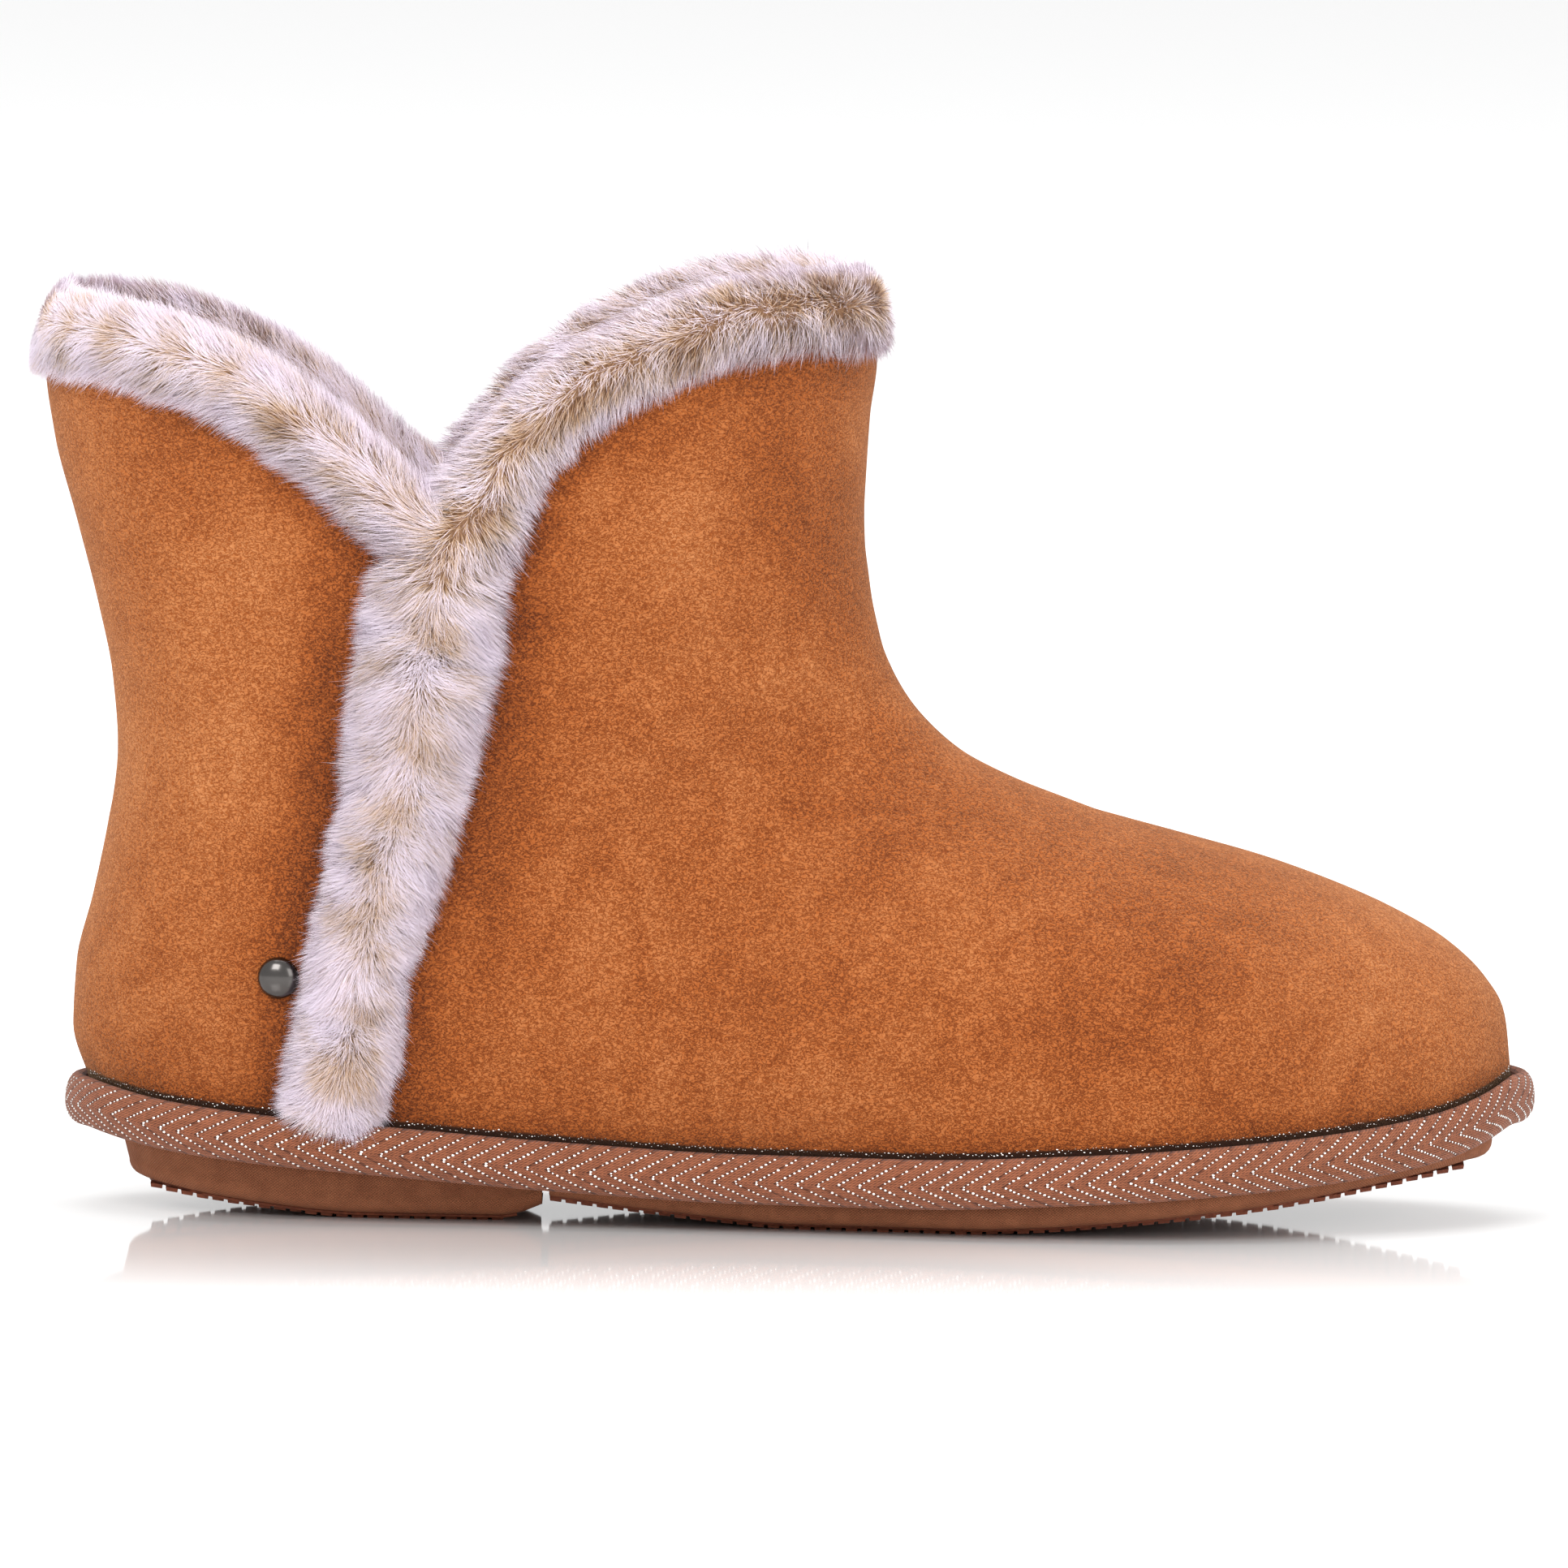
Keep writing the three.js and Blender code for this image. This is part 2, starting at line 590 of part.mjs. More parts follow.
// Bottom lines of forefoot and heel, flat where they rest and curving up to each side.
const springX = alongX(springShare);
const halfwayLift = { arch: 0.38, toe: 0.32, heel: 0.36, treadFront: 0.1, wedgeFront: 0.5 };
const forefootCurve = smoothTable(
  [heelFront, (heelFront + foreRestStart) / 2, foreRestStart,
    foreRestEnd, (foreRestEnd + springX) / 2, springX],
  [archLift, archLift * halfwayLift.arch, 0, 0, toeSpring * halfwayLift.toe, toeSpring],
);
const foreBottom = (x) => (x >= foreRestStart && x <= foreRestEnd ? 0 : forefootCurve(x));
const restHalf = heelRestLength / 2;
const heelCurve = smoothTable(
  [-heelBack, -(heelBack + restHalf) / 2, -restHalf, restHalf, heelTreadFront, heelFront],
  [heelRaise, heelRaise * halfwayLift.heel, 0, 0,
    archLift * halfwayLift.treadFront, archLift * halfwayLift.wedgeFront],
);
const heelBottom = (x) => (Math.abs(x) <= restHalf ? 0 : heelCurve(x));
const treadTop = treadThickness + pieceGap;
const platformTop = (x) => featherZ(x) - pieceGap;
const braidFoot = (x) => creviceZ(x) - braidHeight;
const platformBottom = (x) => braidFoot(x) + platformTuck;

// A solid from levels of the sole outline between two places along the foot.
function outlineSolid(from, to, levels) {
  const loops = levels.map(([offset, height]) => outlineLoop(offset, height, from, to));
  return loftLoops(loops, false, ladderCap(loops[0].length));
}

function platformSolid() {
  return outlineSolid(heelX, toeX, [
    [-platformRound, platformBottom],
    [0, (x) => platformBottom(x) + platformRound],
    [0, platformTop],
  ]);
}

function forefootSolid() {
  const top = (x) => platformBottom(x) - pieceGap;
  const bottom = (x) => foreBottom(x) + treadTop;
  return outlineSolid(heelFront + archGap, toeX, [
    [-canvasInset, bottom],
    [-baseInset, (x) => THREE.MathUtils.lerp(bottom(x), top(x), flankShare)],
    [-baseInset, top],
  ]);
}

function wedgeSolid() {
  const top = (x) => platformBottom(x) - pieceGap;
  const bottom = (x) => heelBottom(x) + treadTop;
  return outlineSolid(heelX, heelFront, [
    [-wedgeInset - wedgeFoot, bottom],
    [-wedgeInset - wedgeFlare, (x) => bottom(x) + wedgeRound],
    [-wedgeInset, (x) => (bottom(x) + top(x)) / 2],
    [-wedgeInset + wedgeFlare, top],
  ]);
}

function treadSolid(from, to, inset, bottom) {
  return outlineSolid(from, to, [
    [-inset, bottom],
    [-inset, (x) => bottom(x) + treadThickness],
  ]);
}

function insoleSolid() {
  const edge = upperWall + footbedEase;
  const base = (x) => platformTop(x) + pieceGap;
  return outlineSolid(heelX, toeX, [
    [-edge, base],
    [-edge, (x) => base(x) + footbedThickness * footbedShoulder],
    [-edge - footbedRound, (x) => base(x) + footbedThickness],
  ]);
}

// A place on the outer face of the last, with its outward and upward directions.
function placeOnLast(t, s) {
  return { centre: lastPoint(t, s), out: lastNormal(t, s) };
}

const notchX = alongX(collarRim.reduce((low, row) => (row.up < low.up ? row : low)).along);

// Side value at which the collar rim passes x on the outer (-1) or inner (1) side.
function rimSide(x, side) {
  let front = 0;
  let back = 1;
  for (let i = 0; i < searchSteps; i += 1) {
    const mid = (front + back) / 2;
    const point = lastPoint(rimRow(side * mid, 0), side * mid);
    if (point.x > x) front = mid;
    else back = mid;
  }
  return side * (front + back) / 2;
}

const cuffShape = {
  up: cuffOverRim, down: cuffBelowRim, outside: cuffOut, inside: upperWall + cuffIn, locks: cuffLocks,
};
const stripShape = {
  up: stripWidth / 2, down: stripWidth / 2, outside: stripPile, inside: upperWall / 2, locks: stripLocks,
};

function rimStations(from, to, steps) {
  return Array.from({ length: steps + 1 }, (unused, i) => {
    const s = THREE.MathUtils.lerp(from, to, i / steps);
    const side = s > 1 ? s - 2 : s;
    return { ...placeOnLast(rimRow(side, 0), side), ...cuffShape };
  });
}

// Stations of the strip on one side, from the braid up to the notch.
function stripStations(side, steps) {
  const along = tableCurve(stripLine, 'up', 'along');
  const first = stripLine[0].up;
  const last = stripLine[stripLine.length - 1].up;
  return Array.from({ length: steps + 1 }, (unused, i) => {
    const up = THREE.MathUtils.lerp(first, last, i / steps);
    const found = findOnLast(alongX(along(up)), heightOf(up), side);
    return { ...placeOnLast(found.t, found.s), ...stripShape };
  });
}

// Station directions: across is up over the rim, and back on a strip.
function orient(stations) {
  stations.forEach((station, i) => {
    const before = stations[Math.max(0, i - 1)].centre;
    const after = stations[Math.min(stations.length - 1, i + 1)].centre;
    station.run = after.clone().sub(before).normalize();
    station.across = station.out.clone().cross(station.run).normalize();
  });
  return stations;
}

function furPoint(station, angle, grow, size = 1) {
  const a = Math.cos(angle);
  const b = Math.sin(angle);
  const across = a * ((a > 0 ? station.up : station.down) * size + grow);
  const depth = b * ((b > 0 ? station.outside : station.inside) * size + grow);
  return station.centre.clone().addScaledVector(station.across, across).addScaledVector(station.out, depth);
}

function furSweep(stations, grow) {
  const ring = (station, shift, size) => Array.from({ length: furSides }, (unused, k) => (
    furPoint(station, (k / furSides) * 2 * Math.PI, grow, size).addScaledVector(station.run, shift)
  ));
  const end = stations[stations.length - 1];
  const loops = [
    ring(stations[0], -furEnd, furEndSize),
    ...stations.map((station) => ring(station, 0, 1)),
    ring(end, furEnd, furEndSize),
  ];
  return loftLoops(loops, false, fanCap(furSides));
}

// Uneven waves that keep neighbouring locks from lining up.
const turnWave = (row, k) => Math.sin(row * 2.4 + k * 1.7);
const leanWave = (row, k) => Math.sin(row * 1.3 + k * 2.1);

// Broad tapered locks leaning out of the fur, row by row along it.
function addLocks(body, stations) {
  let fur = body;
  let travelled = 0;
  let row = 0;
  stations.forEach((station, i) => {
    if (i === 0) return;
    const stride = station.centre.distanceTo(stations[i - 1].centre);
    travelled += stride;
    if (travelled < lockPitch) return;
    travelled -= lockPitch;
    row += 1;
    station.locks.forEach((place, k) => {
      const turn = place * Math.PI + lockTurn * turnWave(row, k);
      const root = furPoint(station, turn, 0, lockRoot);
      const tip = furPoint(station, turn, 0, 1);
      const lean = station.run.clone().multiplyScalar(lockLean * leanWave(row, k));
      const heading = tip.sub(root).normalize().add(lean).normalize();
      const breadth = station.run.clone().addScaledVector(heading, -station.run.dot(heading)).normalize();
      const depth = breadth.clone().cross(heading);
      const lock = new THREE.ConeGeometry(1, lockLength, lockSides);
      lock.scale(lockBreadth / 2, 1, lockDepth / 2);
      lock.translate(0, lockLength / 2, 0);
      lock.applyMatrix4(new THREE.Matrix4().makeBasis(breadth, heading, depth).setPosition(root));
      fur = fur.add(toManifold(lock));
    });
  });
  return fur;
}

// Front band: up the outer strip, over the front of the collar and down the inner strip.
function frontStations() {
  const joinX = notchX + cuffBelowRim;
  const outerRim = rimSide(joinX, -1);
  const strips = [-1, 1].map((side) => stripStations(side, stripSteps));
  const rim = rimStations(outerRim, -outerRim, frontRimSteps);
  return orient([...strips[0], ...rim, ...strips[1].reverse()]);
}

// Rear cuff: from the inner notch round the back to the outer notch, its ends under the front band.
function rearStations() {
  const innerRim = rimSide(notchX + cuffTuck, 1);
  return orient(rimStations(innerRim, 2 - innerRim, rearRimSteps));
}

function studSolid(grow) {
  const r = studDiameter / 2 + grow;
  const base = [new THREE.Vector2(0, -grow), new THREE.Vector2(r, -grow)];
  const crown = studProfile.map((row) => new THREE.Vector2(row.out * r, row.up * studHeight + grow));
  const dome = new THREE.LatheGeometry([...base, ...crown], studSides);
  const found = findOnLast(alongX(studAlong), heightOf(studUp), -1);
  const seat = placeOnLast(found.t, found.s);
  dome.applyQuaternion(new THREE.Quaternion().setFromUnitVectors(new THREE.Vector3(0, 1, 0), seat.out));
  const place = seat.centre.clone().addScaledVector(seat.out, pieceGap);
  dome.translate(place.x, place.y, place.z);
  return toManifold(dome);
}

const upperRoom = upperSolid(pieceGap);
const braidRoom = braidSolid(pieceGap);
const front = frontStations();
const rear = rearStations();
const frontRoom = furSweep(front, pieceGap);
const frontFur = addLocks(furSweep(front, 0), front.slice(1, -1));
const rearFur = addLocks(furSweep(rear, 0), rear.slice(2, -2));

const solids = {
  upper: upperSolid(0),
  insole: insoleSolid(),
  sole_platform: platformSolid(),
  forefoot_base: forefootSolid(),
  heel_wedge: wedgeSolid(),
  braid_binding: braidSolid(0),
  forefoot_tread: treadSolid(heelFront + archGap, toeX, treadInset, foreBottom),
  heel_tread: treadSolid(heelX, heelTreadFront, heelTreadInset, heelBottom),
  fur_band_front: frontFur.subtract(upperRoom).subtract(braidRoom).subtract(studSolid(pieceGap)),
  fur_cuff_rear: rearFur.subtract(frontFur).subtract(frontRoom).subtract(upperRoom),
  stud: studSolid(0).subtract(upperRoom),
};

const finishes = {
  upper: { color: 0xb8692f, roughness: 0.95, metalness: 0 },
  insole: { color: 0xd8c4b0, roughness: 0.95, metalness: 0 },
  sole_platform: { color: 0x87502f, roughness: 0.9, metalness: 0 },
  forefoot_base: { color: 0x87502f, roughness: 0.9, metalness: 0 },
  heel_wedge: { color: 0x8a5233, roughness: 0.9, metalness: 0 },
  braid_binding: { color: 0xa5643c, roughness: 0.7, metalness: 0.1 },
  forefoot_tread: { color: 0x7a3c1e, roughness: 0.8, metalness: 0 },
  heel_tread: { color: 0x74391d, roughness: 0.8, metalness: 0 },
  fur_band_front: { color: 0xdccdd8, roughness: 1, metalness: 0 },
  fur_cuff_rear: { color: 0xd8c8d4, roughness: 1, metalness: 0 },
  stud: { color: 0x8a8580, roughness: 0.25, metalness: 1 },
};

const slipper = new THREE.Group();
Object.entries(solids).forEach(([name, solid]) => {
  const mesh = new THREE.Mesh(toGeometry(solid), new THREE.MeshStandardMaterial(finishes[name]));
  mesh.name = name;
  slipper.add(mesh);
});

export default slipper;
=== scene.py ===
import math

import bpy
import numpy as np
from mathutils import Matrix, Vector


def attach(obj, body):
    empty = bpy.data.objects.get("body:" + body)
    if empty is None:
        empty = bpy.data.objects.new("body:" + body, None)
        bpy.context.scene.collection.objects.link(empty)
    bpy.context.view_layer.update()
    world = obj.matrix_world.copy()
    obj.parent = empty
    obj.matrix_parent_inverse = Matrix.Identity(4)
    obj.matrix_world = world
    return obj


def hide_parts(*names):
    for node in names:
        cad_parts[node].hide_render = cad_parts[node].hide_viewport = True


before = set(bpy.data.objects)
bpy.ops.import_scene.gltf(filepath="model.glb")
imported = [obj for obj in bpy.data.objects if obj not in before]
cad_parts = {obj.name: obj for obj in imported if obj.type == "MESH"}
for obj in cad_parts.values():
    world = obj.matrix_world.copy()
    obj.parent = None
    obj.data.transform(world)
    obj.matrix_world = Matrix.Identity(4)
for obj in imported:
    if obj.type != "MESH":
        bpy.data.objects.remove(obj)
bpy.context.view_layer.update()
random = np.random.default_rng(38)

# The slipper's own sizes, in metres. +X runs to the toe, -Y is the outer side.
MM = 0.001
FOOT_LENGTH = 254.6 * MM
HEEL_X = -61.5 * MM
TOE_X = HEEL_X + FOOT_LENGTH
HALF_BALL = 43 * MM
INSTEP = 73 * MM
SHAFT_RISE = 99 * MM
UPPER_WALL = 3 * MM
PIECE_GAP = 0.3 * MM
FEATHER_TUCK = 1.2 * MM
BRAID_HEIGHT = 8.9 * MM
BRAID_OVERHANG = 4 * MM
PLATFORM_TUCK = 2 * MM
HEEL_FRONT = 20 * MM
HEEL_TREAD_FRONT = 15.5 * MM
ARCH_LIFT = 4.2 * MM
TOE_SPRING = 10 * MM
ARCH_GAP = 1 * MM
TREAD_THICKNESS = 1.2 * MM
FOOTBED = 5 * MM
FORE_REST_START, FORE_REST_END = 66 * MM, 94 * MM
HEEL_REST = 12 * MM
HEEL_BACK_LIFT = 4.2 * MM
NUB_HEIGHT, NUB_PITCH, NUB_LENGTH = 0.6 * MM, 2.78 * MM, 2.2 * MM
STUD_RADIUS, STUD_RISE = 3.75 * MM, 2.3 * MM
STUD_ALONG, STUD_UP = 0.134, 0.604
LOWER_PART = 0.34
HEEL_CROWDING = 1.4
TOE_SWELL = 0.02

# Sections of the last, from the back or sole line to the front ridge:
# back or sole along, back up, ridge along, ridge up, half, widest at, fullness, lean, follows the sole
SHAFT_SECTIONS = [
    (-0.012, 2.000, 0.530, 2.000, 0.91, 0.50, 2.30, 0.00, 0),
    (-0.037, 1.800, 0.547, 1.823, 0.91, 0.50, 2.30, 0.00, 0),
    (-0.030, 1.660, 0.542, 1.712, 0.89, 0.50, 2.30, 0.00, 0),
    (-0.014, 1.510, 0.540, 1.626, 0.87, 0.49, 2.30, 0.00, 0),
    (0.002, 1.355, 0.539, 1.550, 0.85, 0.48, 2.25, 0.00, 0),
    (0.013, 1.220, 0.540, 1.485, 0.83, 0.47, 2.25, 0.00, 0),
    (0.017, 1.090, 0.543, 1.429, 0.82, 0.46, 2.20, 0.00, 0),
    (0.011, 0.945, 0.546, 1.379, 0.81, 0.45, 2.20, 0.01, 0),
    (0.001, 0.767, 0.550, 1.333, 0.81, 0.43, 2.20, 0.01, 0),
    (-0.010, 0.603, 0.554, 1.293, 0.81, 0.41, 2.20, 0.02, 0),
    (-0.012, 0.452, 0.560, 1.256, 0.81, 0.39, 2.15, 0.02, 0),
    (0.000, 0.320, 0.567, 1.222, 0.81, 0.37, 2.15, 0.03, 0),
]
FOOT_SECTIONS = [
    (0.065, 0, 0.576, 1.188, 0.81, 0.35, 2.15, 0.03, 0),
    (0.183, 0, 0.589, 1.151, 0.81, 0.33, 2.10, 0.04, 0),
    (0.321, 0, 0.611, 1.104, 0.85, 0.32, 2.05, 0.06, 0),
    (0.440, 0, 0.645, 1.059, 0.93, 0.31, 2.00, 0.08, 0),
    (0.550, 0, 0.686, 1.018, 1.00, 0.30, 2.00, 0.10, 0.3),
    (0.637, 0, 0.726, 0.981, 1.03, 0.29, 2.00, 0.11, 0.7),
    (0.716, 0, 0.769, 0.941, 1.01, 0.28, 2.05, 0.11, 1),
    (0.795, 0, 0.817, 0.893, 0.95, 0.27, 2.10, 0.10, 1),
    (0.858, 0, 0.862, 0.838, 0.85, 0.26, 2.15, 0.08, 1),
    (0.913, 0, 0.913, 0.764, 0.70, 0.25, 2.20, 0.06, 1),
    (0.953, 0, 0.953, 0.685, 0.50, 0.25, 2.20, 0.04, 1),
    (0.980, 0, 0.980, 0.596, 0.30, 0.25, 2.20, 0.02, 1),
    (0.994, 0, 0.994, 0.510, 0.15, 0.25, 2.20, 0.01, 1),
    (1.000, 0, 1.000, 0.355, 0.00, 0.25, 2.20, 0.00, 1),
]
# Sole outline on the featherline: along, outer, inner
SOLE_OUTLINE = [
    (0.000, 0.000, 0.000), (0.010, 0.235, 0.235), (0.035, 0.430, 0.425), (0.080, 0.600, 0.590),
    (0.150, 0.700, 0.680), (0.250, 0.745, 0.690), (0.350, 0.775, 0.665), (0.450, 0.840, 0.690),
    (0.550, 0.930, 0.800), (0.640, 1.005, 0.925), (0.720, 1.000, 0.995), (0.790, 0.920, 1.005),
    (0.860, 0.750, 0.955), (0.920, 0.520, 0.840), (0.965, 0.270, 0.665), (0.990, 0.030, 0.455),
    (1.000, -0.200, 0.200),
]
CREVICE_LINE = [
    (0.00, 0.325), (0.05, 0.292), (0.12, 0.266), (0.22, 0.241), (0.34, 0.212), (0.46, 0.195),
    (0.57, 0.194), (0.68, 0.208), (0.80, 0.234), (0.90, 0.267), (0.95, 0.297), (0.98, 0.331),
    (1.00, 0.366),
]
COLLAR_RIM = [
    (-0.042, 0.868), (0.030, 0.848), (0.096, 0.792), (0.145, 0.716), (0.190, 0.622), (0.222, 0.552),
    (0.244, 0.522), (0.264, 0.572), (0.303, 0.718), (0.371, 0.841), (0.439, 0.908), (0.486, 0.926),
    (0.552, 0.908),
]
NOTCH_X = HEEL_X + 0.244 * FOOT_LENGTH


def smooth_table(keys, values):
    """A smooth curve through a table, without overshoot between its rows."""
    keys, values = np.asarray(keys, float), np.asarray(values, float)
    slopes = np.diff(values) / np.diff(keys)
    tangents = np.concatenate([slopes[:1], np.zeros(len(keys) - 2), slopes[-1:]])
    for i in range(1, len(keys) - 1):
        a, b = slopes[i - 1], slopes[i]
        before, after = keys[i] - keys[i - 1], keys[i + 1] - keys[i]
        weight_a, weight_b = 2 * after + before, after + 2 * before
        if a * b > 0:
            tangents[i] = (weight_a + weight_b) / (weight_a / a + weight_b / b)

    def at(key):
        k = np.clip(key, keys[0], keys[-1])
        i = np.clip(np.searchsorted(keys, k, side="right") - 1, 0, len(keys) - 2)
        span = keys[i + 1] - keys[i]
        f = (k - keys[i]) / span
        f2, f3 = f * f, f * f * f
        return ((2 * f3 - 3 * f2 + 1) * values[i] + (f3 - 2 * f2 + f) * span * tangents[i]
                + (3 * f2 - 2 * f3) * values[i + 1] + (f3 - f2) * span * tangents[i + 1])

    return at


def table_curve(rows, key, value):
    return smooth_table([row[key] for row in rows], [row[value] for row in rows])


def index_curve(rows, value):
    return smooth_table(range(len(rows)), [row[value] for row in rows])


def along_x(share):
    return HEEL_X + FOOT_LENGTH * share


def share_of(x):
    return (x - HEEL_X) / FOOT_LENGTH


def height_of(up):
    return np.where(up <= 1, up * INSTEP, INSTEP + (up - 1) * SHAFT_RISE)


def lerp(a, b, f):
    return a + (b - a) * f


def unit(v):
    length = np.linalg.norm(v, axis=-1, keepdims=True)
    return v / np.maximum(length, 1e-12)


def roundness(share):
    return np.arccos(1 - 2 * np.clip(share, 0, 1))


def fade(distance, reach):
    """1 at distance 0, falling softly over the reach."""
    return np.exp(-(distance / reach) ** 2)


def turning_place(start, end, before):
    """The place between start and end up to which before holds, found by halving."""
    for _ in range(40):
        mid = (start + end) / 2
        held = before(mid)
        start, end = np.where(held, mid, start), np.where(held, end, mid)
    return (start + end) / 2


outline_keys = [float(roundness(row[0])) for row in SOLE_OUTLINE]
outer_share = smooth_table(outline_keys, [row[1] for row in SOLE_OUTLINE])
inner_share = smooth_table(outline_keys, [row[2] for row in SOLE_OUTLINE])
crevice_up = table_curve(CREVICE_LINE, 0, 1)
rim_up = table_curve(COLLAR_RIM, 0, 1)


def outer_y(x):
    return -HALF_BALL * outer_share(roundness(share_of(x)))


def inner_y(x):
    return HALF_BALL * inner_share(roundness(share_of(x)))


def crevice_z(x):
    return INSTEP * crevice_up(share_of(x))


def feather_z(x):
    return crevice_z(x) - FEATHER_TUCK


def rim_z(x):
    return INSTEP + SHAFT_RISE * rim_up(share_of(x))


HEEL_ROW = len(SHAFT_SECTIONS) - 1
SECTIONS = SHAFT_SECTIONS + FOOT_SECTIONS
LAST_ROW = len(SECTIONS) - 1
back_along_at = index_curve(SHAFT_SECTIONS, 0)
back_up_at = index_curve(SHAFT_SECTIONS, 1)
sole_along_at = index_curve([(0.0,)] + FOOT_SECTIONS, 0)
ridge_along_at, ridge_up_at, half_at, wide_at, full_at, lean_at, hug_at = (
    index_curve(SECTIONS, i) for i in range(2, 9))


def section(t):
    on_shaft = t <= HEEL_ROW
    on_back = np.minimum(t, HEEL_ROW)
    sole_x = np.where(on_shaft, HEEL_X, along_x(sole_along_at(np.maximum(t - HEEL_ROW, 0))))
    heel_drop = feather_z(HEEL_X) - height_of(back_up_at(HEEL_ROW))
    shaft_back_z = height_of(back_up_at(on_back)) + heel_drop * (on_back / HEEL_ROW) ** 8
    tip = t >= LAST_ROW
    base = np.where(on_shaft, 0, (inner_y(sole_x) - outer_y(sole_x)) / 2)
    hugged = base + HALF_BALL * TOE_SWELL * np.minimum(1, (LAST_ROW - t) / 2)
    return {
        "back_x": np.where(on_shaft, along_x(back_along_at(on_back)), sole_x),
        "back_z": np.where(on_shaft, shaft_back_z, feather_z(sole_x)),
        "ridge_x": np.where(tip, TOE_X, along_x(ridge_along_at(t))),
        "ridge_z": np.where(tip, feather_z(TOE_X), height_of(ridge_up_at(t))),
        "base": base,
        "half": np.maximum(lerp(HALF_BALL * half_at(t), hugged, hug_at(t)), base),
        "centre": np.where(on_shaft, 0, (inner_y(sole_x) + outer_y(sole_x)) / 2),
        "wide": wide_at(t),
        "full": full_at(t),
        "lean": HALF_BALL * lean_at(t),
    }


def side_point(sec, q):
    """Half width and place along the section line, q from 0 at the base to 1 on the ridge."""
    power = 2 / sec["full"]
    low = np.clip(q / LOWER_PART, 0, 1)
    grounded = np.where(sec["half"] > 0, sec["base"] / np.maximum(sec["half"], 1e-9), 1)
    swelling = 1 - np.maximum(np.cos(low * math.pi / 2), 0) ** power
    low_half = sec["base"] + (sec["half"] - sec["base"]) * np.sin(low * math.pi / 2) ** power
    high = np.clip((q - LOWER_PART) / (1 - LOWER_PART), 0, 1) * math.pi / 2
    high_half = np.where(q >= 1, 0, sec["half"] * np.maximum(np.cos(high), 0) ** power)
    high_share = sec["wide"] + (1 - sec["wide"]) * np.sin(high) ** power
    is_low = q < LOWER_PART
    share = np.where(is_low, sec["wide"] * lerp(swelling, low, grounded), high_share)
    return np.where(is_low, low_half, high_half), share


def last_point(t, s):
    """Points of the last: s is -1 at the outer base, 0 on the ridge and 1 at the inner base."""
    t, s = np.broadcast_arrays(np.asarray(t, float), np.asarray(s, float))
    sec = section(t)
    half, share = side_point(sec, 1 - np.abs(s))
    x = lerp(sec["back_x"], sec["ridge_x"], share)
    z = lerp(sec["back_z"], sec["ridge_z"], share)
    y = sec["centre"] + sec["lean"] * share + np.sign(s) * half
    return np.stack([x, y, z], -1)


def last_normal(t, s):
    step = 0.02
    ahead = last_point(np.minimum(LAST_ROW - 0.01, t + step), s)
    along_t = ahead - last_point(np.maximum(0, t - step), s)
    along_s = last_point(t, np.minimum(1, s + step)) - last_point(t, np.maximum(-1, s - step))
    return unit(np.cross(along_t, along_s))


def rim_row(s):
    """The section at which side s of the last passes through the collar rim."""
    s = np.asarray(s, float)

    def above(t):
        place = last_point(t, s)
        return place[..., 2] > rim_z(place[..., 0])

    return turning_place(np.zeros_like(s), np.full_like(s, HEEL_ROW), above)


def find_on_last(x, z, side):
    """Section and side value of the places of the last seen at x, z from the side."""
    x, z = np.asarray(x, float), np.asarray(z, float)

    def lines(sec):
        return (sec["ridge_x"] - sec["back_x"], sec["ridge_z"] - sec["back_z"],
                x - sec["back_x"], z - sec["back_z"])

    def beyond(t):
        line_x, line_z, from_x, from_z = lines(section(t))
        return line_x * from_z - line_z * from_x < 0

    t = turning_place(np.zeros_like(x), np.full_like(x, LAST_ROW), beyond)
    sec = section(t)
    line_x, line_z, from_x, from_z = lines(sec)
    share = (from_x * line_x + from_z * line_z) / (line_x ** 2 + line_z ** 2)
    q = turning_place(np.zeros_like(x), np.ones_like(x), lambda q: side_point(sec, q)[1] < share)
    return t, side * (1 - q)


# Finishes
class Tone:
    """A socket of a finish; arithmetic on it adds Math nodes."""

    def __init__(self, finish, socket):
        self.finish, self.socket = finish, socket

    def _math(self, operation, a, b=None):
        sockets = {0: a} if b is None else {0: a, 1: b}
        return self.finish.add("ShaderNodeMath", {"operation": operation}, sockets)

    def __add__(self, other):
        return self._math("ADD", self, other)

    def __radd__(self, other):
        return self._math("ADD", other, self)

    def __sub__(self, other):
        return self._math("SUBTRACT", self, other)

    def __rsub__(self, other):
        return self._math("SUBTRACT", other, self)

    def __mul__(self, other):
        return self._math("MULTIPLY", self, other)

    def __rmul__(self, other):
        return self._math("MULTIPLY", other, self)

    def __truediv__(self, other):
        return self._math("DIVIDE", self, other)

    def __mod__(self, other):
        return self._math("FLOORED_MODULO", self, other)

    def __abs__(self):
        return self._math("ABSOLUTE", self)

    def sine(self):
        return self._math("SINE", self)

    def between(self, low, high):
        """0 below low, 1 above high and a soft step between them."""
        sockets = {"Value": self, "From Min": low, "From Max": high}
        return self.finish.add("ShaderNodeMapRange", {"interpolation_type": "SMOOTHSTEP"}, sockets)


